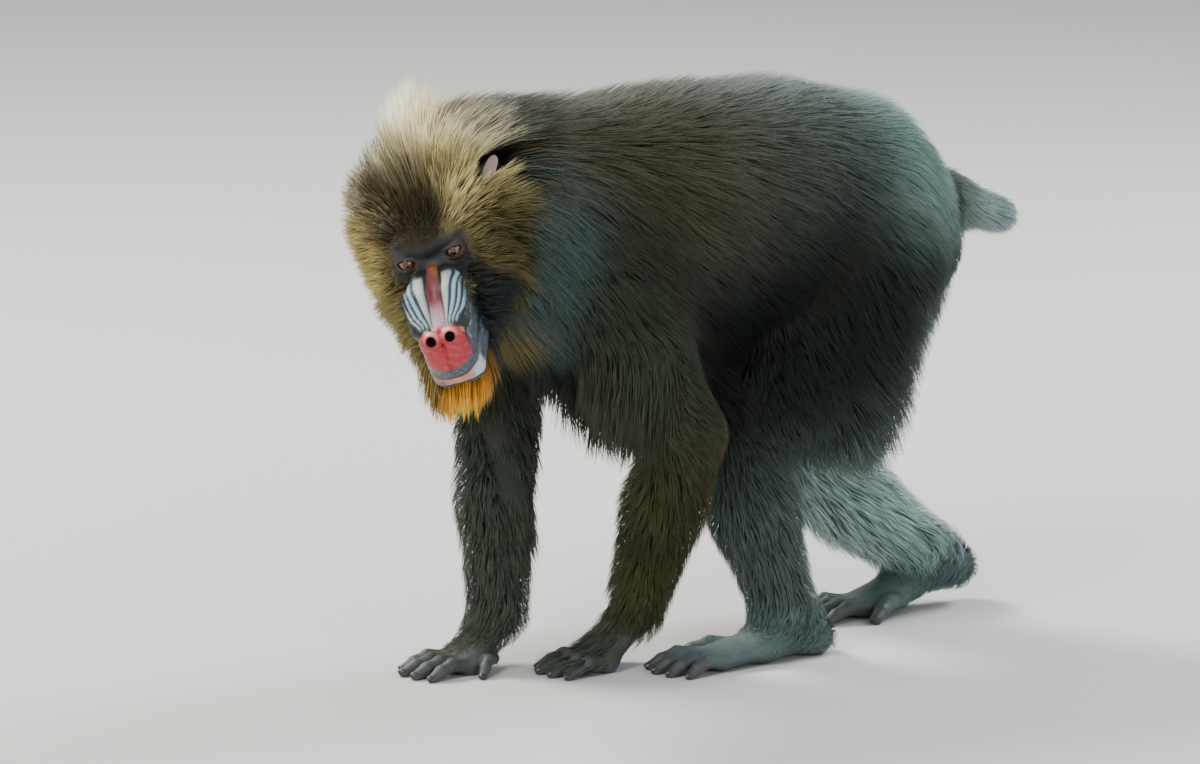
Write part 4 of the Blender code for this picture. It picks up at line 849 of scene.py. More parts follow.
def boolean(obj, tools, operation):
    """One Boolean with each tool in turn, which is then removed."""
    for tool in tools:
        cut = obj.modifiers.new("cut", "BOOLEAN")
        cut.object = tool
        cut.operation = operation
        cut.solver = "MANIFOLD"
        bpy.context.view_layer.update()
        apply_modifiers(obj)
        bpy.data.objects.remove(tool)


# Colours, as linear red, green and blue

def rgb(*values):
    return np.array(values)


OLIVE = rgb(0.054, 0.046, 0.022)
SLATE = rgb(0.084, 0.108, 0.088)
# Pale rump colour: painted backlight on the rump
BACKLIT_RUMP = rgb(0.15, 0.235, 0.22)
# Dark flank colour: painted shade on the flanks, belly and thighs, and behind the near shoulder
FLANK_SHADE = rgb(0.009, 0.013, 0.012)
MANE = rgb(0.075, 0.13, 0.14)
ARM = rgb(0.04, 0.05, 0.031)
FOREARM = rgb(0.054, 0.055, 0.023)
SHIN = rgb(0.092, 0.125, 0.112)
PALE_HAIR = rgb(0.3, 0.4, 0.4)
FOOT_HAIR = rgb(0.11, 0.165, 0.165)
HAND_HAIR = rgb(0.076, 0.095, 0.068)
CROWN_HAIR = rgb(0.105, 0.084, 0.034)
GOLD = rgb(0.35, 0.28, 0.098)
CREAM = rgb(0.95, 0.88, 0.6)
STRAW = rgb(0.7, 0.58, 0.26)
CHEEK = rgb(0.12, 0.108, 0.04)
BEARD = rgb(0.98, 0.46, 0.045)
BLACK_HAIR = rgb(0.012, 0.014, 0.016)
CHEST = rgb(0.04, 0.042, 0.024)
FACE_SKIN = rgb(0.009, 0.01, 0.012)
MUZZLE_SKIN = rgb(0.07, 0.095, 0.12)
RIDGE_BLUE = rgb(0.29, 0.44, 0.52)
RIDGE_CREAM = rgb(0.5, 0.56, 0.5)
GROOVE_TEAL = rgb(0.008, 0.026, 0.042)
BRIDGE_TOP = rgb(0.26, 0.075, 0.025)
BRIDGE_MAROON = rgb(0.17, 0.03, 0.038)
BRIDGE_LILAC = rgb(0.48, 0.27, 0.34)
VALLEY = rgb(0.016, 0.006, 0.01)
NOSE_RED = rgb(0.37, 0.02, 0.03)
NOSE_PINK = rgb(0.66, 0.23, 0.25)
# Painted shade inside the nostrils
NOSTRIL_SHADE = rgb(0.03, 0.006, 0.008)
LIP = rgb(0.56, 0.28, 0.215)
LIP_PALE = rgb(0.52, 0.58, 0.64)
# Painted shade in the slit between the lips
MOUTH_SLIT_SHADE = rgb(0.035, 0.01, 0.01)
EAR_PINK = rgb(0.74, 0.56, 0.5)
SEAT_PINK = rgb(0.42, 0.16, 0.17)
PALM = rgb(0.055, 0.062, 0.066)
LID_WARMTH = rgb(0.02, 0.008, 0.004)


def mix(first, second, share):
    """From the first colour at share 0 to the second at share 1."""
    share = np.asarray(share)[:, None]
    return first * (1 - share) + second * share


def layered(colour, *layers):
    """A colour with others laid over it in turn, each by its share."""
    for other, share in layers:
        colour = mix(colour, other, share)
    return colour


def smooth_noise(points, scale, seed):
    """Soft noise between -1 and 1 from a few turned sine waves."""
    rng = np.random.default_rng(seed)
    total = np.zeros(len(points))
    for octave in range(4):
        for _ in range(3):
            wave = rng.normal(size=3)
            wave *= (1.7**octave) * 2 * np.pi / (scale * CM) / np.linalg.norm(wave)
            total += np.sin(points @ wave + rng.uniform(0, 6.28)) / 1.5**octave
    return np.clip(total / 5.0, -1, 1)


# The numbers in the markings are places in centimetres, shares and gains.

def torso_colour(forward, height, streak):
    """Slate above flanks and belly darkened as painted shade, olive towards the shoulders, with a rump paled
    as painted backlight and a dull chest.
    """
    return layered(
        SLATE,
        # Painted shade: the lower body darkened
        (FLANK_SHADE, fall(height + 0.25 * forward, 42, 61)),
        (OLIVE * 1.15, ramp(forward + 3 * streak, -12, 13) * ramp(height, 42, 56)),
        # Painted backlight: the upper rump paled
        (BACKLIT_RUMP, ramp(-forward, 11, 24) * ramp(height, 40, 51)),
        (CHEST, ramp(forward, 2, 10) * fall(height, 30, 40)))


def arm_colour(left, height):
    """Olive arms, browner on the left forearm and greyer at the hands."""
    return layered(
        ARM,
        (FOREARM, fall(height, 24, 36) * ramp(left, 0, 1)),
        (FOREARM * 1.5, fall(height, 8, 18) * ramp(left, 0, 1)),
        (HAND_HAIR * 0.9, fall(height, 20, 34) * fall(left, -2, 0)),
        (HAND_HAIR * 0.9, fall(height, 4, 9)))


def leg_colour(forward, left, height, torso):
    """Thighs darkened as painted shade, a pale fringe behind them as painted backlight, the far lower leg
    paled as painted backlight, and grey shins and feet.
    """
    return layered(
        # Thighs darkened with painted shade
        FLANK_SHADE * 1.3,
        (torso, ramp(height, 40, 54)),
        (SHIN, fall(height + 0.5 * (forward + 18), 24, 38)),
        # Painted backlight on the hair behind the thighs
        (PALE_HAIR * 0.62, ramp(-forward, 19, 27) * fall(height, 36, 46) * 0.85),
        # Painted backlight on the far (right) lower leg
        (PALE_HAIR * 1.1, fall(left, -4, 0) * fall(height, 20, 30)),
        (FOOT_HAIR * 1.2, fall(height, 4, 10)))


def head_hair_colour(points, height, streak):
    """Crown and crest with its straw and cream painted sunlight, a painted sunlit patch on the left of the
    crown, dark hair at the brow and behind the left ear, cheeks with the right cheek's gold brightened as
    painted sunlight, and the yellow beard.
    """
    side, front, high = in_skull(points)
    across, ahead, off = in_snout(points)
    # A painted sunlit patch on the left of the crown, by the ear
    sunlit_patch = bump_at(side, 4.2, 2.0) * bump_at(high, 4.8, 2.4)
    sunlit_patch = sunlit_patch + 0.7 * bump_at(side, 2.6, 1.0) * bump_at(high, 3.4, 1.6)
    sunlit_patch = np.clip(sunlit_patch * (0.8 + 0.5 * smooth_noise(points, 1.6, 17)), 0, 1)
    forehead = np.clip(1.4 * bump_at(side, -0.2, 3.0), 0, 1) * fall(high, 4.4, 6.0)
    pouch = ramp(ahead, -0.5, 1.5) * ramp(-off, 2.4, 3.8) * ramp(across, 0.0, 2.0) * ramp(height, 36, 39)
    beard = ramp(-off, 5.9, 6.7) * ramp(ahead, -1.5, 0.5) * (1 - 0.85 * ramp(-across, 1.2, 3.0))
    band = ramp(side, 0.5, 2.0) * fall(side, 5.0, 6.5) * ramp(-front, 6.5, 8.5) * ramp(high, 3.0, 5.0)
    return layered(
        CROWN_HAIR,
        (BLACK_HAIR, fall(high, 2.2, 3.6) * ramp(front, -5.0, -3.4) * fall(np.abs(side), 3.2, 4.2)),
        (CHEEK, ramp(side, 3.2, 4.4) * fall(high, 1.0, 4.0)),
        # Gold on the right cheek ruff: the ruff's own gold, brightened as painted sunlight
        (GOLD, fall(side, -5.4, -3.6) * fall(high, 2, 6)),
        # Straw on the crest: painted sunlight
        (STRAW, ramp(high, 5.0, 6.6) * fall(np.abs(side - 0.6), 1.8, 3.4)),
        (STRAW * 1.2, sunlit_patch),
        # Cream on the crest: painted sunlight
        (CREAM, ramp(high, 5.0, 6.2) * bump_at(side, -1.2, 1.9) * ramp(front, -10.5, -7.0)),
        (CROWN_HAIR * 0.32, forehead),
        (BLACK_HAIR * 1.6, pouch),
        (GOLD * 0.6, ramp(ahead, -1.0, 1.0) * ramp(-off, 1.5, 3.0) * ramp(-across, 1.5, 3.0)),
        (BEARD, beard * fall(height, 37, 41)),
        (CREAM * 0.85, band * (0.7 + 0.3 * streak)),
        (BLACK_HAIR, ramp(side, 4.5, 6.0) * ramp(-front, 10.2, 11.4) * ramp(high, 0.5, 2.5)))


def coat_colour(points, weights):
    """The coat's markings at places on the skin, with the painted shade and painted backlight of the parts'
    colours, and painted shade on the near side behind the shoulder.
    """
    forward, left, height = in_body(points)
    streak = smooth_noise(points * np.array((1.0, 3.0, 1.0)), 4.0, 21)
    torso = torso_colour(forward, height, streak)
    neck = layered(
        OLIVE * 0.75,
        (MANE, ramp(streak, -0.5, 0.5) * fall(height, 54, 61)),
        (OLIVE * 0.8, fall(left, -4, 2)))
    off_arm, off_head = 1 - weights["arm"], 1 - weights["head"]
    # Painted shade on the near side behind the shoulder
    shade = ramp(forward, 9.0, 14.0) * ramp(left, 3.0, 7.0) * fall(height, 50, 56)
    sweep = ramp(forward, 18.0, 21.5) * fall(forward, 25.5, 28.5) * ramp(left, 2.0, 5.0)
    sweep = sweep * ramp(height, 35, 42) * fall(height, 53, 58) * (1 - 0.6 * weights["arm"])
    under_cheek = ramp(forward, 22.0, 25.0) * fall(height, 41, 46) * ramp(left, -1, 2)
    under_cheek = under_cheek * ramp(height, 27, 30) * off_arm
    colour = layered(
        OLIVE,
        (torso, weights["torso"]),
        (neck, weights["neck"]),
        (arm_colour(left, height), weights["arm"]),
        (leg_colour(forward, left, height, torso), weights["leg"]),
        (mix(PALE_HAIR * 0.75, SLATE, fall(-forward, 31, 36)), weights["tail"]),
        (head_hair_colour(points, height, streak), weights["head"]),
        (FLANK_SHADE * 1.3, shade * off_arm * off_head * (0.7 + 0.3 * streak)),
        (MANE, sweep * (0.62 + 0.38 * streak)),
        (mix(GOLD * 0.5, BEARD * 0.6, fall(height, 34, 40)), under_cheek * off_head))
    return colour * (1 + 0.26 * smooth_noise(points, 5.0, 3))[:, None]


def on_seat(points, length, rise):
    """How far a place belongs to the bare skin of the seat, with the patch's length and height."""
    forward, left, height = in_body(points)
    return bump_at(forward, -33.5, length) * bump_at(height, 41.0, rise) * fall(np.abs(left), 4.5, 6.5)


def hair_cover(points, weights):
    """Where hair grows: 0 on bare skin and 1 under the full coat."""
    side, front, high = in_skull(points)
    across, ahead, off = in_snout(points)
    ragged = 0.35 * smooth_noise(points, 0.9, 41)
    crown = ramp(high - 0.12 * np.abs(side) + ragged, 1.0, 2.1)
    cheek = ramp(np.abs(side) + ragged, 3.8, 4.7)
    back = ramp(-front, 6.0, 8.0)
    jaw = ramp(-off, 6.0, 6.7) * fall(ahead, 11.2, 12.0)
    side_hair = ramp(np.abs(across), 2.9, 3.3) * fall(ahead, 5.0, 8.0) * ramp(ahead, 0.0, 1.2)
    face = np.maximum.reduce([crown, cheek, back, jaw, side_hair * 0.9])
    cover = np.ones(len(points)) * (1 - weights["head"]) + face * weights["head"]
    for way in SIDES:
        cover *= 1 - on_ear(points, way)
    height = in_body(points)[2]
    tip_zone = weights["arm"] + weights["leg"]
    cover *= 1 - tip_zone * fall(height, 0.5, 1.6)
    for tips in (HAND_L.tips, HAND_R.tips, FOOT_L.tips, FOOT_R.tips):
        for tip, _, _ in tips:
            away = np.hypot(points[:, 0] - tip[0], points[:, 1] - tip[1]) / CM
            cover *= np.where(height < 4, ramp(away, 1.8, 3.4), 1)
    seat = on_seat(points, 3.0, 3.4)
    return np.clip(cover * (1 - 0.9 * seat * weights["torso"]), 0, 1)


def bridge_colour(across, ahead):
    """The nose's back, from rust between the eyes to lilac above the pad."""
    return layered(
        BRIDGE_TOP,
        (BRIDGE_MAROON, ramp(ahead - across * 1.6, 1.2, 3.0)),
        (BRIDGE_LILAC, ramp(ahead, 5.6, 8.4)),
        (RIDGE_CREAM * 0.8, bump_at(across, -0.62, 0.2) * ramp(ahead, 5.5, 8.0) * 0.7))


def ridge_colour(across, ahead, share, wave):
    """The swellings' pale blue ridges with dark grooves between them."""
    ridge = layered(
        RIDGE_CREAM,
        (RIDGE_BLUE, ramp(share, 0.12, 0.4)),
        (RIDGE_CREAM * 0.75, ramp(share, 0.7, 0.95) * (across < 0)))
    fade = 0.75 + 0.25 * ramp(ahead, 2.2, 4.5)
    return mix(ridge * fade[:, None], GROOVE_TEAL, ramp(wave, 0.55 - 0.2 * ramp(share, 0.3, 0.8), 0.85))


def nose_layers(points, across, ahead, off, speck):
    """The red pad, the pink rims of the nostrils and the painted shade inside them."""
    pad = ramp(ahead - 0.25 * np.abs(across), 9.1, 9.7) * fall(-off, 2.3, 2.8)
    pad = pad * fall(np.abs(across), 2.3, 2.8)
    found = [(mix(NOSE_RED, NOSE_PINK, 0.22 * ramp(speck, 0.1, 0.8)), pad)]
    for way in SIDES:
        centre, axes = nostril(way)
        rel = (points - centre) / CM
        near = np.hypot(rel @ axes[0], rel @ axes[1])
        found.append((NOSE_PINK * 1.1, bump_at(near, 0.85, 0.22) * ramp(rel @ MUZZLE_UP, -0.1, 0.5) * pad))
        # Painted shade inside the nostril
        found.append((NOSTRIL_SHADE, fall(near, 0.5, 0.66) * pad))
    return found


def mouth_layers(across, ahead, off):
    """The lips, the mouth line painted dark as shade in the slit, and a painted shadow line under the lower
    lip.
    """
    line = mouth_line(np.clip(across / LIP_HALF, -1, 1))
    lip = ramp(line - off, 0.1, 0.25) * fall(line - off, 1.6, 1.9) * ramp(ahead, 10.4, 11.2)
    lips = layered(LIP, (LIP_PALE, ramp(across, 1.5, 2.2)), (LIP * 0.45, ramp(-across, 0.8, 2.0)))
    return [
        (lips, lip),
        # Painted shade in the mouth slit
        (MOUTH_SLIT_SHADE, bump_at(off, line, 0.17) * ramp(ahead, 4.5, 6.0)),
        # Painted shadow under the lower lip
        (GROOVE_TEAL * 0.5, bump_at(line - off, 2.0, 0.16) * ramp(ahead, 7.0, 8.6)),
    ]


def lid_and_ear_layers(points):
    """The lids' slightly warmer skin and the pink ears."""
    found = []
    for way in SIDES:
        near = np.linalg.norm(points - eye_centre(way), axis=1) / CM
        found.append((FACE_SKIN * 1.6 + LID_WARMTH, fall(near, 1.35, 1.9)))
        found.append((EAR_PINK, on_ear(points, way)))
    return found


def skin_colour(points):
    """The bare skin's colours on the face, ears, palms and seat."""
    across, ahead, off = in_snout(points)
    speck = smooth_noise(points, 0.8, 9)
    muzzle = ramp(ahead, 3.0, 6.0) * ramp(-off, 0.8, 2.2)
    pale_bristle = ramp(smooth_noise(points, 0.30, 31), 0.25, 0.6) * muzzle
    dark_bristle = ramp(smooth_noise(points, 0.35, 33), 0.25, 0.6) * muzzle
    wide = 0.50 + 0.16 * ramp(ahead, 3.0, 9.0)
    keel = fall(np.abs(across) - wide, 0, 0.24) * ramp(ahead, 0.4, 1.4) * ramp(off, -2.4, -1.2)
    valley = bump_at(np.abs(across), 0.86, 0.16) * ramp(ahead, 0.8, 2.0) * fall(ahead, 8.6, 9.4)
    strength, share, wave = on_swelling(points)
    seat = on_seat(points, 3.4, 4.0)
    colour = layered(
        FACE_SKIN,
        (MUZZLE_SKIN, muzzle * (0.75 + 0.25 * speck)),
        (MUZZLE_SKIN * 3.2, pale_bristle * 0.6),
        (MUZZLE_SKIN * 0.3, dark_bristle * 0.6),
        (bridge_colour(across, ahead), keel),
        (VALLEY, valley * ramp(off, -2.4, -1.2)),
        (ridge_colour(across, ahead, share, wave), strength),
        *nose_layers(points, across, ahead, off, speck),
        *mouth_layers(across, ahead, off),
        *lid_and_ear_layers(points),
        (PALM, fall(in_body(points)[2], 9, 12)),
        (SEAT_PINK, np.clip(seat * 1.4, 0, 1)))
    return colour * (1 + 0.10 * speck)[:, None]


def wide_field(forms):
    """A field that also holds far from its forms, to tell the parts of the body apart."""
    return field_of(forms, far=0.5, reach=0.05)


GROUPS = {
    "torso": wide_field(torso_forms()),
    "neck": wide_field(neck_forms()),
    "head": wide_field(head_forms() + head_coat_forms()),
    "tail": wide_field(tail_forms()),
    "arm": both(wide_field(ARM_L.forms + HAND_L.forms), wide_field(ARM_R.forms + HAND_R.forms)),
    "leg": both(wide_field(LEG_L.forms + FOOT_L.forms), wide_field(LEG_R.forms + FOOT_R.forms)),
}


def closeness(field, points, reach):
    """How near points are to a field's surface. It falls away from it within about reach centimetres."""
    return np.exp(-np.clip(field(points), -0.03, 0.3) / (reach * CM))


def group_weights(points, reach=0.9):
    """How far a place belongs to each part of the body. The shares add up to one."""
    raw = {name: closeness(field, points, reach) for name, field in GROUPS.items()}
    total = sum(raw.values())
    return {name: value / total for name, value in raw.items()}


def paint(mesh, name, colours):
    """A colour for each point of a mesh, given as linear values."""
    layer = mesh.color_attributes.new(name, "FLOAT_COLOR", "POINT")
    values = np.ones((len(colours), 4), np.float32)
    values[:, :3] = np.clip(colours, 0, 1)
    layer.data.foreach_set("color", values.ravel())


# Skin

HEAD_CELL = 0.0013
HAND_CELL = 0.0019
BODY_CELL = 0.0045
SEAM = 0.002
HEAD_MARGIN = 4
HAND_MARGIN = 4.5
HEAD_PLANE = (at(25.8, 0, 50), along(1, 0, 0.15))
BODY_BOX = (at(31, -17, -0.5), at(-45, 19, 68))
# How dark the hair's colour is on the skin under the coat: painted shade between the tufts
UNDERCOAT_SHADE = 0.55


def end_plane(limb, arm):
    """Where a hand or foot is cut off from the limb: a point and the normal towards its tips."""
    bone = unit(limb.end - limb.middle)
    return (limb.end - bone * 1.2 * CM, bone) if arm else (limb.end + UP * 1.3 * CM, -UP)


class Zone:
    """A part that is meshed more finely: its field, its box, and a plane that cuts it off from the rest.

    The plane's normal points into the part.
    """

    def __init__(self, field, box, point, normal, cell):
        self.field, self.point, self.normal, self.cell = field, point, normal, cell
        self.low, self.high = box

    def past(self, points):
        return (points - self.point) @ self.normal

    def part(self, points):
        return np.maximum(self.field(points), -self.past(points) - SEAM)

    def rest(self, points, value):
        inside = ((points > self.low) & (points < self.high)).all(axis=1)
        value[inside] = np.maximum(value[inside], self.past(points[inside]) - SEAM)
        return value


def skin_object(coarse):
    """One closed skin: a body shell and finer shells for head, hands and feet, joined."""
    reach = [skull(0, -12, 0), snout(0, 13, -3), skull(8, -8, 0), skull(-8, -8, 0), skull(0, -8, 8)]
    head = Zone(head_field(), span(reach, HEAD_MARGIN), *HEAD_PLANE, HEAD_CELL)
    trunk = field_of(torso_forms() + neck_forms() + head_forms())
    ends = []
    for name, (limb, end) in LIMBS.items():
        arm = name.startswith("arm")
        reach = [limb.end, *(tip for tip, _, _ in end.tips)] + ([] if arm else [end.forms[0].b])
        field = field_of(limb.forms + end.forms)
        ends.append(Zone(field, span(reach, HAND_MARGIN), *end_plane(limb, arm), HAND_CELL))

    def body(points):
        trunk_value = trunk(points)
        found = [blend_pair(trunk_value, field_of(tail_forms())(points), TAIL_BLEND * CM)]
        for end in ends:
            found.append(end.rest(points, blend_pair(trunk_value, end.field(points), LIMB_BLEND * CM)))
        return head.rest(points, np.minimum.reduce(found))

    obj = object_of("skin", mesh_of("skin", *surface_net(body, *span(BODY_BOX, 0), BODY_CELL)))
    tools = []
    for zone in [head, *ends]:
        cell = zone.cell * (2 if coarse else 1)
        tools.append(object_of("part", mesh_of("part", *surface_net(zone.part, zone.low, zone.high, cell))))
    boolean(obj, tools, "UNION")
    return obj


def above_floor(obj):
    """Presses flat whatever would sink into the floor."""
    points = points_of(obj.data)
    points[:, 2] = np.maximum(points[:, 2], 0)
    obj.data.vertices.foreach_set("co", points.astype(np.float32).ravel())
    obj.data.update()
    return obj


def dress_skin(obj):
    """Gives the skin its colours, with the hair's colour darkened under the coat as painted shade between
    the tufts, fuzz where hair grows and wet where the nose shines.
    """
    points = points_of(obj.data)
    weights = group_weights(points)
    cover = hair_cover(points, weights)
    # The hair's colour darkened on the skin as painted shade between the tufts
    hair = coat_colour(points, weights) * UNDERCOAT_SHADE
    paint(obj.data, "tint", mix(skin_colour(points), hair, cover))
    _, ahead, off = in_snout(points)
    wet = ramp(ahead, 9.0, 9.7) * fall(-off, 5.4, 5.9) * weights["head"]
    for name, values in (("fuzz", cover), ("wet", wet)):
        layer = obj.data.attributes.new(name, "FLOAT", "POINT")
        layer.data.foreach_set("value", values.astype(np.float32))
    obj.data.shade_smooth()


# Coat

ARM_SWEEP = 0.4
LEG_SWEEP = 1.1


def trunk_flow(points):
    """Backwards along the spine, turning down over the flanks and the rump."""
    forward, left, _ = in_body(points)
    flank = ramp(np.abs(left), 2.0, 10.0)
    rump = ramp(-forward, 20.0, 31.0)
    shoulder = ramp(forward, 6.0, 18.0)
    back = (1.0 - 0.75 * rump - 0.35 * shoulder * flank)[:, None] * -AHEAD
    return back + (0.12 + 0.75 * flank + 0.9 * rump + 0.3 * shoulder * flank)[:, None] * -UP


def head_flow(points):
    """Away from the face: up over the crown, out over the cheeks and down at the jaw."""
    side, front, high = in_skull(points)
    _, ahead, off = in_snout(points)
    crest = ramp(high, 3.8, 5.4) * fall(np.abs(side), 2.5, 4.5)
    beard = ramp(-off, 5.8, 6.8) * ramp(ahead, -2.0, 0.5)
    radial = side[:, None] * HEAD_LEFT * 0.2 + (high[:, None] + 1.0) * CROWN * 0.16
    usual = radial - GAZE * 0.7 - UP * 0.1
    lean = -0.12 + 0.06 * (front + 7.0)
    raised = CROWN + GAZE * lean[:, None] + HEAD_LEFT * side[:, None] * 0.07
    usual = usual * (1 - crest)[:, None] + raised * crest[:, None]
    return usual * (1 - beard)[:, None] + (-UP - LEVEL * 0.12) * beard[:, None]


def neck_flow(points):
    """Backwards along the nape, and steeply down over the sides of the neck."""
    share = ramp(np.abs(points[:, 0] / CM), 1.5, 6.0)[:, None]
    return along(-1, 0, -0.3) * (1 - share) + along(-0.62, 0, -1) * share


def limb_flow(limb, back):
    """Down the limb, swept backwards on its upper part."""
    upper, lower = unit(limb.middle - limb.top), unit(limb.end - limb.middle)

    def flow(points):
        run = (points - limb.middle) @ lower
        share = ramp(run, -0.03, 0.05)[:, None]
        return upper * (1 - share) + lower * share - AHEAD * (back * (1 - share) + 0.15 * share) - UP * 0.1

    return flow


def flows():
    """The field of each part of the body, with the direction in which its hair lies."""
    found = [
        (GROUPS["torso"], trunk_flow),
        (GROUPS["neck"], neck_flow),
        (GROUPS["head"], head_flow),
        (GROUPS["tail"], lambda points: np.tile(along(-1, 0, -0.4), (len(points), 1))),
    ]
    for name, (limb, _) in LIMBS.items():
        back = ARM_SWEEP if name.startswith("arm") else LEG_SWEEP
        found.append((wide_field(limb.forms), limb_flow(limb, back)))
    for _, end in LIMBS.values():
        found.append((wide_field(end.forms),
                      lambda points, heading=end.heading: np.tile(heading - UP * 0.2, (len(points), 1))))
    return found


def coat_flow(points, parts, reach=1.8):
    """The direction in which hair lies, blended from the parts of the body."""
    total = np.zeros_like(points)
    for field, direction in parts:
        total += normalised(direction(points)) * closeness(field, points, reach)[:, None]
    return normalised(total)


class Roots:
    """Places for tufts on the skin, with what is known about each."""

    def __init__(self, **values):
        self.values = values

    def __getattr__(self, name):
        return self.values[name]

    def pick(self, chosen):
        return Roots(**{name: value[chosen] for name, value in self.values.items()})

    def __len__(self):
        return len(self.values["place"])


def sample_skin(obj, count, rng):
    """Places spread evenly over the skin, with their normals."""
    mesh = obj.data
    mesh.calc_loop_triangles()
    corners = np.empty(len(mesh.loop_triangles) * 3, np.int32)
    mesh.loop_triangles.foreach_get("vertices", corners)
    points = points_of(mesh)
    triangles = points[corners.reshape(-1, 3)]
    normals = np.cross(triangles[:, 1] - triangles[:, 0], triangles[:, 2] - triangles[:, 0])
    areas = np.linalg.norm(normals, axis=1)
    edges = np.cumsum(areas) / areas.sum()
    picks = np.searchsorted(edges, (np.arange(count) + rng.uniform(0, 1, count)) / count)
    picks = np.minimum(picks, len(areas) - 1)
    first, second = rng.uniform(0, 1, count), rng.uniform(0, 1, count)
    over = first + second > 1
    first[over], second[over] = 1 - first[over], 1 - second[over]
    corner = triangles[picks]
    place = corner[:, 0] + (corner[:, 1] - corner[:, 0]) * first[:, None]
    place = place + (corner[:, 2] - corner[:, 0]) * second[:, None]
    return place, normalised(normals[picks])


def towards(field, points, aim, rounds=2, most=0.01):
    """Moves points along the field's slope until it has the value aim there."""
    for _ in range(rounds):
        slope = slope_of(field, points, 0.001)
        size = np.maximum((slope**2).sum(axis=1), 0.2)
        move = slope * ((aim - field(points)) / size)[:, None]
        length = np.linalg.norm(move, axis=1, keepdims=True)
        points = points + move * np.minimum(1, most / np.maximum(length, 1e-9))
    return points


def clumped(places, ends, count, pull, rng):
    """Draws the ends of neighbouring tufts together."""
    if len(places) < 20:
        return ends
    guides = rng.choice(len(places), max(4, len(places) // count), replace=False)
    tree = KDTree(len(guides))
    for index, guide in enumerate(guides):
        tree.insert(places[guide], index)
    tree.balance()
    nearest = np.array([guides[tree.find(place)[1]] for place in places])
    shift = ends - places
    aim = places[nearest] + shift[nearest]
    strength = pull * rng.uniform(0.5, 1.2, len(places))
    return ends + (aim - ends) * strength[:, None]


# Thickness of a tuft and share of its length at each ring, for tufts with four or three rings
PROFILE = {4: (0.8, 1.0, 0.65, 0.0), 3: (0.9, 0.8, 0.0)}
SHARES = {4: (0.0, 0.33, 0.68, 1.0), 3: (0.0, 0.5, 1.0)}
FLATNESS = 0.45
PATCH = 0.003
FLOOR_GAP = 0.0005
ROOT_GAIN = 0.5


def needle_points(start, bend, end, normal, width, rings):
    """The points of three-sided needles along curves from start past bend to end: rings, then the tip."""
    t = np.array(SHARES[rings])[None, :, None]
    route = (1 - t) ** 2 * start[:, None] + 2 * t * (1 - t) * bend[:, None] + t * t * end[:, None]
    steps = normalised(2 * (1 - t) * (bend - start)[:, None] + 2 * t * (end - bend)[:, None])
    across = normalised(np.cross(steps, normal[:, None]))
    lift = np.cross(across, steps)
    size = (width[:, None] * np.array(PROFILE[rings]))[:, :, None]
    body = slice(0, rings - 1)
    corners = []
    for turn in (math.pi / 2, math.pi * 7 / 6, math.pi * 11 / 6):
        corners.append(route[:, body] + across[:, body] * size[:, body] * math.cos(turn)
                       + lift[:, body] * size[:, body] * math.sin(turn) * FLATNESS)
    tube = np.stack(corners, axis=2).reshape(len(start), -1, 3)
    points = np.concatenate([tube, route[:, -1:]], axis=1)
    points[:, :, 2] = np.maximum(points[:, :, 2], FLOOR_GAP)
    return points


def needle_faces(rings):
    """The three-sided faces of one needle with its cap, by the numbers of its points."""
    faces = [(2, 1, 0)]
    for ring in range(rings - 2):
        for corner in range(3):
            a, b = ring * 3 + corner, ring * 3 + (corner + 1) % 3
            faces += [(a, b, b + 3), (a, b + 3, a + 3)]
    last = (rings - 2) * 3
    faces += [(last + corner, last + (corner + 1) % 3, last + 3) for corner in range(3)]
    return np.array(faces)


def add_unwrap(mesh, rings, unwrap):
    """The UV map: a small patch for each tuft, at its place on the skin's unwrap."""
    local = [(corner / 2, share) for share in SHARES[rings][:-1] for corner in range(3)]
    local = np.array(local + [(0.5, 1.0)])
    coordinates = (unwrap[:, None] + (local[None] - 0.5) * PATCH).reshape(-1, 2)
    layer = mesh.uv_layers.new(name="OFBake")
    loops = np.empty(len(mesh.loops), np.int32)
    mesh.loops.foreach_get("vertex_index", loops)
    layer.data.foreach_set("uv", coordinates[loops].astype(np.float32).ravel())


def tuft_mesh(name, start, bend, end, normal, width, colours, unwrap):
    """Capped three-sided needles as one mesh. colours holds a colour for each ring of each tuft."""
    rings = colours.shape[1]
    points = needle_points(start, bend, end, normal, width, rings)
    offsets = np.arange(len(points)) * points.shape[1]
    faces = needle_faces(rings)[None] + offsets[:, None, None]
    mesh = mesh_of(name, points.reshape(-1, 3), faces.reshape(-1, 3))
    tint = np.concatenate([np.repeat(colours[:, :-1], 3, axis=1), colours[:, -1:]], axis=1)
    paint(mesh, "tint", tint.reshape(-1, 3))
    add_unwrap(mesh, rings, unwrap)
    mesh.shade_smooth()
    return mesh


def unwrap_round(places, centre, axis, reach):
    """A cylinder's unwrap of the skin about an axis: once round is 0 to 1, and along it is 0 to 1."""
    axis = unit(axis)
    side = unit(np.cross(axis, [0.31, 0.17, 0.93]))
    other = np.cross(axis, side)
    rel = places - centre
    angle = np.arctan2(rel @ other, rel @ side) / (2 * np.pi) + 0.5
    run = np.clip((rel @ axis) / (2 * reach) + 0.5, 0, 1)
    return np.stack([angle, run], axis=1) * 0.99 + 0.005


def banded(base, rings, tip_gain, rng):
    """Colours along each tuft: dark at the root and changed by tip_gain towards the tip."""
    count = len(base)
    shares = np.array(SHARES[rings])
    gain = ROOT_GAIN + (1 - ROOT_GAIN) * ramp(shares, 0.0, 0.5)
    gain = gain[None, :] * rng.uniform(0.78, 1.22, count)[:, None]
    tips = (tip_gain - 1) * ramp(shares, 0.45, 1.0)[None, :] * rng.uniform(0.4, 1.4, count)[:, None]
    return base[:, None, :] * (gain * (1 + tips))[:, :, None]


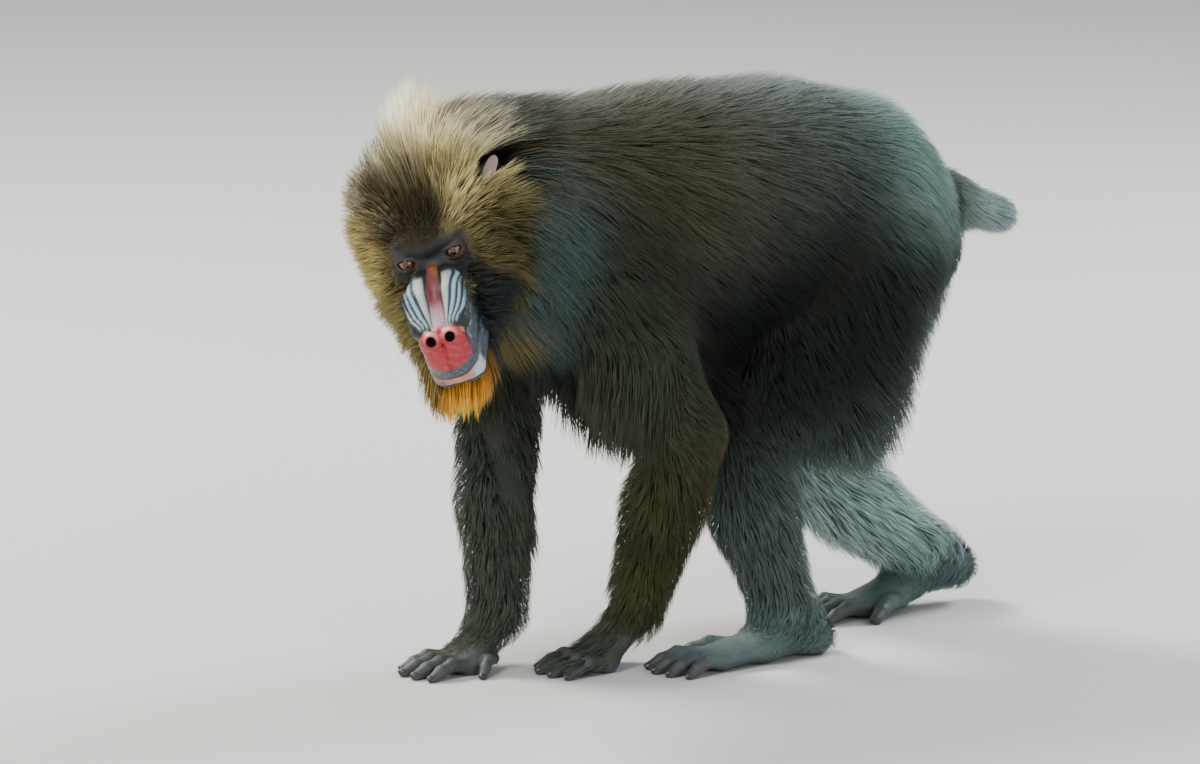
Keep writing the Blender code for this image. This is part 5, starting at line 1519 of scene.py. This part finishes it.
def standing(places):
    """How far tufts stand free of the coat's outline, as in the crest and the beard, and their lengths."""
    side, front, high = in_skull(places)
    across, ahead, off = in_snout(places)
    crest = ramp(high, 4.2, 5.6) * fall(np.abs(side + 0.2), 1.4, 3.0) * fall(-front, 10.5, 12.0)
    beard = ramp(-off, 5.8, 6.5) * ramp(ahead, -1.5, 1.0) * fall(np.abs(across), 4.4, 5.4)
    length = crest * (6.4 + 4.6 * bump_at(side, -0.8, 1.5)) + beard * (4.6 + 1.2 * bump_at(ahead, 8.0, 3.0))
    return np.maximum(crest, beard), length


ARM_FRINGE = 7.5
LEAST_DEPTH = 0.05
ROOT_DEPTH = 0.25
STRAY_TURN = 0.16
FREE_STRAY = 0.09
CLUMP_PULL = 0.55
LEAST_TIP_HEIGHT = 0.002


def arm_fringe(places):
    """Where hair hangs down from the front of the left upper arm and the chest."""
    forward, left, height = in_body(places)
    share = ramp(forward, 8.0, 11.0) * fall(forward, 22.0, 25.0) * ramp(left, 0.0, 2.0)
    return share * ramp(height, 27.0, 31.0) * fall(height, 37.0, 42.0)


EAR_CLEARING = 1.25
EAR_OPENING = 5.0


def clear_of_ear(starts, bends, ends):
    """Which tufts leave the space in front of the left ear's tip open."""
    root, tip = ear_axis(1)
    centre = tip - unit(tip - root) * 0.8 * CM
    open_way = unit(GAZE * 0.93 + CROWN * 0.32 + HEAD_LEFT * 0.18)
    near = np.full(len(starts), EAR_CLEARING * 2)
    for share in (0.15, 0.3, 0.45, 0.6, 0.75, 0.9, 1.0):
        spot = (1 - share) ** 2 * starts + 2 * share * (1 - share) * bends + share**2 * ends
        rel = (spot - centre) / CM
        run = np.clip(rel @ open_way, 0, EAR_OPENING)
        near = np.minimum(near, np.linalg.norm(rel - run[:, None] * open_way, axis=1))
    return near > EAR_CLEARING


def between(first, second, share):
    """Vectors from the first at share 0 to the second at share 1."""
    return first * (1 - share)[:, None] + second * share[:, None]


def coat_piece(name, roots, outside, share, plan, rng):
    """One piece of coat, with tufts that lie along the flow under the coat's outside."""
    count = len(roots)
    normal = roots.normal
    depth = np.maximum(roots.depth, LEAST_DEPTH)
    free, free_length = standing(roots.place)
    length = np.maximum(plan.reach + plan.stretch * depth, depth * 1.12) * rng.uniform(0.8, 1.15, count)
    level = plan.rise * rng.uniform(0.55, 1.0, count) ** 0.6
    height = np.minimum(depth * level, length * 0.97)
    heading = roots.flow - normal * (roots.flow * normal).sum(axis=1, keepdims=True)
    heading = normalised(heading + np.cross(normal, heading) * rng.normal(0, STRAY_TURN, count)[:, None])
    lying = np.sqrt(np.maximum(length**2 - height**2, 0.01))
    start = roots.place - normal * ROOT_DEPTH * CM
    end = roots.place + (normal * height[:, None] + heading * lying[:, None]) * CM
    hanging = arm_fringe(roots.place)
    free, free_length = np.maximum(free, hanging), free_length + hanging * ARM_FRINGE
    aim = between(roots.flow, AHEAD * 0.12 - UP, hanging)
    stray = normalised(aim + rng.normal(0, FREE_STRAY, (count, 3)))
    own = roots.place + stray * (free_length * rng.uniform(0.75, 1.1, count))[:, None] * CM
    end = clumped(roots.place, between(end, own, free), plan.clump, CLUMP_PULL, rng)
    tall = (roots.depth > 0.45) & (free < 0.5)
    if tall.any():
        end[tall] = towards(outside, end[tall], -(1 - level[tall]) * depth[tall] * CM, 2, 0.02)
    end = end - UP * (plan.droop * depth * rng.uniform(0.3, 1.0, count))[:, None] * CM
    end[:, 2] = np.maximum(end[:, 2], LEAST_TIP_HEIGHT)
    bend = roots.place + (normal * height[:, None] * 0.8 + heading * lying[:, None] * 0.34) * CM
    middle = roots.place + (end - roots.place) * 0.45 + normal * 0.35 * CM
    bend = between(bend, middle, free)
    colours = banded(roots.colour, plan.rings, plan.tip_gain, rng)
    width = plan.width / math.sqrt(share) * CM * rng.uniform(0.75, 1.25, count) * (1 + 0.5 * free)
    seen = clear_of_ear(roots.place, bend, end)
    unwrap = unwrap_round(roots.place, *plan.wrap)
    curves = [values[seen] for values in (start, bend, end, normal, width, colours, unwrap)]
    return object_of(name, tuft_mesh(name, *curves))


TUFT_SAMPLES = 420000
BEARD_OFF = -6.2
BEARD_AHEAD = -1.0
BELLY_TOP = 42
WRIST_TOP = 6
Plan = namedtuple("Plan", "tufts rings width reach stretch rise clump tip_gain droop wrap")


# The centre, axis and half length of the cylinder that a piece's patches are unwrapped on.
HEAD_WRAP = (skull(0, -6, 0), GAZE, 0.14)
BEARD_WRAP = (snout(0, 4, -6), MUZZLE, 0.12)
BODY_WRAP = (at(-4, 0, 49), AHEAD, 0.4)
LIMB_WRAP = (at(12, 0, 25), UP, 0.3)
# A tuft is reach + stretch times the coat's depth long, in centimetres. rise is how far it stands up,
# clump how many tufts are drawn together, and droop how far the end hangs, as a share of the depth.
PLANS = {
    "coat_head": Plan(12000, 4, 0.07, 1.0, 1.15, 1.0, 8, 1.7, 0.0, HEAD_WRAP),
    "coat_beard": Plan(3600, 4, 0.07, 1.0, 1.2, 1.0, 7, 1.5, 0.1, BEARD_WRAP),
    "coat_neck_left": Plan(9500, 4, 0.085, 1.4, 1.45, 1.0, 10, 1.8, 0.12, BODY_WRAP),
    "coat_neck_right": Plan(5500, 4, 0.09, 1.4, 1.45, 1.0, 10, 1.6, 0.1, BODY_WRAP),
    "coat_back_left": Plan(17000, 3, 0.085, 1.4, 1.5, 1.0, 9, 1.8, 0.0, BODY_WRAP),
    "coat_back_right": Plan(12000, 3, 0.09, 1.4, 1.5, 1.0, 9, 1.8, 0.0, BODY_WRAP),
    "coat_belly": Plan(12000, 3, 0.085, 1.4, 1.5, 1.0, 9, 1.6, 0.25, BODY_WRAP),
    "coat_tail": Plan(3600, 3, 0.07, 1.9, 1.4, 1.6, 6, 1.7, 0.6, BODY_WRAP),
    "coat_arm_left": Plan(12000, 3, 0.065, 1.2, 1.4, 1.0, 8, 1.6, 0.12, LIMB_WRAP),
    "coat_arm_right": Plan(9000, 3, 0.07, 1.2, 1.4, 1.0, 8, 1.6, 0.12, LIMB_WRAP),
    "coat_leg_left": Plan(14500, 3, 0.07, 1.3, 1.4, 1.0, 8, 1.8, 0.12, LIMB_WRAP),
    "coat_leg_right": Plan(10500, 3, 0.07, 1.3, 1.4, 1.0, 8, 1.8, 0.12, LIMB_WRAP),
    "coat_hands_feet": Plan(9500, 3, 0.045, 0.7, 1.2, 1.0, 6, 1.4, 0.0, LIMB_WRAP),
}


def piece_names(places, weights):
    """The coat piece that each place on the skin belongs to."""
    _, ahead, off = in_snout(places)
    _, left, height = in_body(places)
    part = np.array(list(GROUPS))[np.argmax(np.stack([weights[name] for name in GROUPS]), axis=0)]
    side = np.where(left > 0, "_left", "_right")
    in_beard = (off <= BEARD_OFF) & (ahead >= BEARD_AHEAD)
    found = {
        "head": np.where(in_beard, "beard", "head"),
        "neck": np.char.add("neck", side),
        "torso": np.where(height > BELLY_TOP, np.char.add("back", side), "belly"),
        "tail": "tail",
        "arm": np.where(height > WRIST_TOP, np.char.add("arm", side), "hands_feet"),
        "leg": np.where(height > WRIST_TOP, np.char.add("leg", side), "hands_feet"),
    }
    return np.char.add("coat_", np.select([part == name for name in found], found.values(), ""))


def make_coat(skin, share):
    rng = np.random.default_rng(5)
    place, normal = sample_skin(skin, int(TUFT_SAMPLES * share), rng)
    weights = group_weights(place)
    outside = body_field(1.0)
    depth = np.maximum(-outside(place), 0) / CM
    parts = flows()
    haired = hair_cover(place, weights) > rng.uniform(0.1, 0.9, len(place))
    keep = haired & (in_body(place)[2] > 0.4)
    names = piece_names(place, weights)[keep]
    every = Roots(place=place[keep], normal=normal[keep], depth=depth[keep])
    made = []
    for name, plan in PLANS.items():
        found = np.flatnonzero(names == name)
        wanted = int(plan.tufts * share)
        if len(found) > wanted:
            found = np.sort(rng.choice(found, wanted, replace=False))
        roots = every.pick(found)
        roots.values["flow"] = coat_flow(roots.place, parts)
        roots.values["colour"] = coat_colour(roots.place, group_weights(roots.place))
        made.append(coat_piece(name, roots, outside, share, plan, rng))
    return made


# Eyes and nails

PUPIL = 0.30
IRIS = 0.62
AMBER = rgb(0.21, 0.088, 0.018)
DEEP_AMBER = rgb(0.09, 0.03, 0.008)
EYE_BROWN = rgb(0.05, 0.024, 0.014)
PUPIL_BLACK = rgb(0.002, 0.002, 0.002)


def eye_object(name, way):
    """An eyeball with a raised cornea over a painted iris."""
    shape = bmesh.new()
    bmesh.ops.create_uvsphere(shape, u_segments=64, v_segments=48, radius=1.0)
    aim = unit(GAZE * 0.97 - UP * 0.05)
    side = unit(np.cross(CROWN, aim))
    rise = np.cross(aim, side)
    axes = np.stack([side, rise, aim])
    local = np.array([vert.co for vert in shape.verts])
    away = np.arccos(np.clip(local[:, 2], -1, 1))
    angle = np.arctan2(local[:, 1], local[:, 0])
    raised = 1 + 0.055 * fall(away, 0.35, IRIS + 0.08)
    points = eye_centre(way) + (local * raised[:, None]) @ axes * EYE_RADIUS * CM
    for vert, point in zip(shape.verts, points):
        vert.co = point
    bmesh.ops.recalc_face_normals(shape, faces=shape.faces[:])
    mesh = bpy.data.meshes.new(name)
    shape.to_mesh(mesh)
    shape.free()
    # The iris: amber rays that darken towards its rim and the pupil.
    streak = 0.75 + 0.25 * np.sin(angle * 23 + 3 * np.sin(angle * 7))
    iris = mix(AMBER * streak[:, None], DEEP_AMBER, ramp(away, IRIS - 0.14, IRIS))
    iris = mix(iris, DEEP_AMBER, fall(away, PUPIL, PUPIL + 0.12))
    paint(mesh, "tint", layered(
        EYE_BROWN,
        (iris, fall(away, IRIS - 0.01, IRIS + 0.04)),
        (PUPIL_BLACK, fall(away, PUPIL - 0.03, PUPIL + 0.02))))
    mesh.shade_smooth()
    return object_of(name, mesh)


NAIL_CORNERS = 7
NAIL_THICKNESS = 0.12
# Forward of the tip in centimetres, half width as a share of the digit's radius, and drop in centimetres.
NAIL_RINGS = (
    (-0.75, 0.62, 0.02),
    (-0.35, 0.74, 0.0),
    (0.15, 0.74, 0.04),
    (0.6, 0.55, 0.22),
    (0.82, 0.25, 0.36),
)


def nail_points(tip, heading, radius):
    """A curved nail over a digit's end: rings of an arch that taper to the front."""
    across = np.cross(UP, heading)
    top = np.array([tip[0], tip[1], radius * 1.0 * CM])
    shares = np.linspace(-1, 1, NAIL_CORNERS)
    edge = [(share, 0.0) for share in shares] + [(share, -NAIL_THICKNESS) for share in shares[::-1]]
    rings = []
    for run, wide, drop in NAIL_RINGS:
        ring = []
        for share, layer in edge:
            rise = (1 - share**2) * 0.34 + layer
            ring.append(top + heading * run * CM + across * share * wide * radius * CM
                        + UP * (rise * radius - drop - 0.04) * CM)
        rings.append(ring)
    return np.array(rings)


def nails_object():
    """The nails of all fingers and toes as one piece."""
    points, faces = [], []
    for end in (HAND_L, HAND_R, FOOT_L, FOOT_R):
        for tip, heading, radius in end.tips:
            rings = nail_points(tip, heading, radius)
            start = len(points)
            count = rings.shape[1]
            points += list(rings.reshape(-1, 3))
            for ring in range(len(rings) - 1):
                for corner in range(count):
                    a = start + ring * count + corner
                    b = start + ring * count + (corner + 1) % count
                    faces.append((a, b, b + count, a + count))
            faces.append(tuple(start + corner for corner in reversed(range(count))))
            last = start + (len(rings) - 1) * count
            faces.append(tuple(last + corner for corner in range(count)))
    mesh = bpy.data.meshes.new("nails")
    mesh.from_pydata([tuple(point) for point in points], [], faces)
    facing_out(mesh)
    return object_of("nails", mesh)


# Materials

def new_material(name):
    made = bpy.data.materials.new(name)
    made.use_nodes = True
    tree = made.node_tree
    return made, tree, tree.nodes["Principled BSDF"]


def add(tree, kind, links=None, **inputs):
    """A node with its settings and values, and with links from other nodes' outputs to its inputs."""
    node = tree.nodes.new(kind)
    for name, value in inputs.items():
        if hasattr(node, name):
            setattr(node, name, value)
        else:
            node.inputs[name.replace("_", " ").title()].default_value = value
    for name, output in (links or {}).items():
        tree.links.new(output, node.inputs[name])
    return node


def noise(tree, place, scale, detail, roughness):
    node = add(tree, "ShaderNodeTexNoise", {"Vector": place})
    dress(tree, node, {}, {"Scale": scale, "Detail": detail, "Roughness": roughness})
    return node.outputs["Fac"]


def dress(tree, node, links, values):
    """Connects and sets the inputs of a node."""
    for name, output in links.items():
        tree.links.new(output, node.inputs[name])
    for name, value in values.items():
        node.inputs[name].default_value = value


def attribute(tree, name, output="Fac"):
    return add(tree, "ShaderNodeAttribute", attribute_name=name).outputs[output]


FUR_ROUGHNESS = 0.85


def skin_material():
    """Bare skin with pores and wrinkles, and streaky short fur where hair grows."""
    made, tree, shader = new_material("skin")
    tint, fuzz, wet = attribute(tree, "tint", "Color"), attribute(tree, "fuzz"), attribute(tree, "wet")
    place = add(tree, "ShaderNodeTexCoord").outputs["Object"]
    pores = noise(tree, place, 900.0, 4.0, 0.6)
    creases = add(tree, "ShaderNodeTexVoronoi", {"Vector": place}, feature="DISTANCE_TO_EDGE", Scale=420.0)
    fur = noise(tree, place, 260.0, 5.0, 0.7)
    shallow = add(tree, "ShaderNodeMath", {0: creases.outputs["Distance"]}, operation="MULTIPLY")
    shallow.inputs[1].default_value = 0.5
    bare = add(tree, "ShaderNodeMath", {0: pores, 1: shallow.outputs[0]}, operation="ADD")
    height = add(tree, "ShaderNodeMix", {"Factor": fuzz, "A": bare.outputs[0], "B": fur}, data_type="FLOAT")
    bump = add(tree, "ShaderNodeBump", {"Height": height.outputs["Result"]}, Strength=0.35, Distance=0.0012)
    rough = add(tree, "ShaderNodeMapRange", {"Value": wet}, To_Min=0.52, To_Max=0.34)
    rough = rough.outputs["Result"]
    matt = add(tree, "ShaderNodeMix", {"Factor": fuzz, "A": rough}, data_type="FLOAT", B=FUR_ROUGHNESS)
    dress(tree, shader,
          {"Base Color": tint, "Normal": bump.outputs["Normal"], "Roughness": matt.outputs["Result"]},
          {"Subsurface Weight": 0.06, "Subsurface Radius": (0.008, 0.003, 0.002), "Subsurface Scale": 0.3})
    return made


def coat_material():
    """Hair in each tuft's own colour, with fine streaks of light and dark."""
    made, tree, shader = new_material("hair")
    tint = attribute(tree, "tint", "Color")
    place = add(tree, "ShaderNodeTexCoord").outputs["Object"]
    strands = noise(tree, place, 700.0, 3.0, 0.6)
    gain = add(tree, "ShaderNodeMapRange", {"Value": strands}, To_Min=0.72, To_Max=1.28)
    shaded = add(tree, "ShaderNodeVectorMath", {0: tint, "Scale": gain.outputs["Result"]}, operation="SCALE")
    dress(tree, shader, {"Base Color": shaded.outputs["Vector"]},
          {"Roughness": 0.48, "Specular IOR Level": 0.22})
    return made


def eye_material():
    """The eyeball under a clear wet layer."""
    made, tree, shader = new_material("eye")
    dress(tree, shader, {"Base Color": attribute(tree, "tint", "Color")},
          {"Roughness": 0.08, "Coat Weight": 1.0, "Coat Roughness": 0.02})
    return made


def plain_material(name, colour, roughness):
    made, tree, shader = new_material(name)
    dress(tree, shader, {}, {"Base Color": (*colour, 1.0), "Roughness": roughness})
    return made


# Stage

FLOOR_COLOUR = (0.66, 0.66, 0.64)
FLOOR_REACH = 30.0
FLOOR_ROUGHNESS = 0.9


def floor():
    """A wide plain floor."""
    corners = [(x * FLOOR_REACH, y * FLOOR_REACH, 0) for x, y in ((-1, -1), (1, -1), (1, 1), (-1, 1))]
    mesh = bpy.data.meshes.new("floor")
    mesh.from_pydata(corners, [], [(0, 1, 2, 3)])
    obj = object_of("floor", mesh)
    obj.data.materials.append(plain_material("floor", FLOOR_COLOUR, FLOOR_ROUGHNESS))


CAMERA_TURN = math.radians(60)
CAMERA_RISE = math.radians(11)
CAMERA_BACK = np.array([math.sin(CAMERA_TURN) * math.cos(CAMERA_RISE),
                        -math.cos(CAMERA_TURN) * math.cos(CAMERA_RISE), math.sin(CAMERA_RISE)])
CAMERA_AWAY = 9.0
CAMERA_WIDTH = 1.333
AIM = at(5.71, -8.92, 29.38)


CAMERA_RIGHT = np.array([math.cos(CAMERA_TURN), math.sin(CAMERA_TURN), 0])
FAR = -unit(CAMERA_BACK * np.array([1, 1, 0]))
SKY_COLOUR = (0.94, 0.97, 1.0, 1)
SKY_STRENGTH = 0.5
# Name, place, size, power and colour. FAR points away from the camera along the floor.
LAMPS = (
    ("sun", FAR * 2.0 - CAMERA_RIGHT * 2.6 + UP * 3.6, 1.6, 280.0, (1.0, 0.95, 0.86)),
    ("rim", FAR * 2.2 + CAMERA_RIGHT * 2.8 + UP * 2.6, 1.8, 160.0, (0.90, 0.95, 1.0)),
    ("key", -FAR * 3.0 - CAMERA_RIGHT * 1.8 + UP * 3.2, 1.8, 120.0, (1.0, 0.98, 0.95)),
    ("fill", -FAR * 3.2 + CAMERA_RIGHT * 2.4 + UP * 1.4, 2.4, 40.0, (0.95, 0.98, 1.0)),
)
LAMP_AIM = UP * 0.3


def looking(obj, place, back):
    """Puts a camera or lamp at a place, with its back turned along a direction."""
    obj.location = Vector(place)
    obj.rotation_euler = Vector(back).to_track_quat("Z", "Y").to_euler()


def place_camera(scene):
    camera = object_of("camera", bpy.data.cameras.new("camera"))
    scene.camera = camera
    looking(camera, AIM + CAMERA_BACK * CAMERA_AWAY, CAMERA_BACK)
    camera.data.angle = 2 * math.atan(CAMERA_WIDTH / 2 / CAMERA_AWAY)
    camera.data.clip_end = 60


def light_world(scene):
    world = bpy.data.worlds.new("world")
    scene.world = world
    world.use_nodes = True
    sky = world.node_tree.nodes["Background"]
    dress(world.node_tree, sky, {}, {"Color": SKY_COLOUR, "Strength": SKY_STRENGTH})


def camera_and_lights():
    """The camera at the photo's view, a pale sky and four soft lamps."""
    place_camera(bpy.context.scene)
    light_world(bpy.context.scene)
    for name, place, size, power, colour in LAMPS:
        lamp = bpy.data.lights.new(name, "AREA")
        lamp.shape = "DISK"
        lamp.size = size
        lamp.energy = power
        lamp.color = colour
        looking(object_of(name, lamp), place, place - LAMP_AIM)


FLESH = (
    "head", "neck", "torso", "tail", "ear_left", "ear_right",
    "upper_arm_left", "upper_arm_right", "forearm_left", "forearm_right", "hand_left", "hand_right",
    "thigh_left", "thigh_right", "shin_left", "shin_right", "foot_left", "foot_right",
)
HORN_COLOUR = (0.045, 0.04, 0.036)
HORN_ROUGHNESS = 0.35


def put(obj, material, nodes=()):
    """Gives a piece its material, hangs it under the root and hides the solids that it stands for."""
    obj.data.materials.clear()
    obj.data.materials.append(material)
    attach(obj, "root")
    for node in nodes:
        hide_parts(node)


def main():
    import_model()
    camera_and_lights()
    skin = above_floor(skin_object(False))
    dress_skin(skin)
    put(skin, skin_material(), FLESH)
    hair = coat_material()
    for piece in make_coat(skin, 1.0):
        put(piece, hair)
    wet = eye_material()
    for side, way in (("left", 1), ("right", -1)):
        put(eye_object("eyeball_" + side, way), wet, ["eye_" + side])
    put(above_floor(nails_object()), plain_material("horn", HORN_COLOUR, HORN_ROUGHNESS))
    floor()


main()
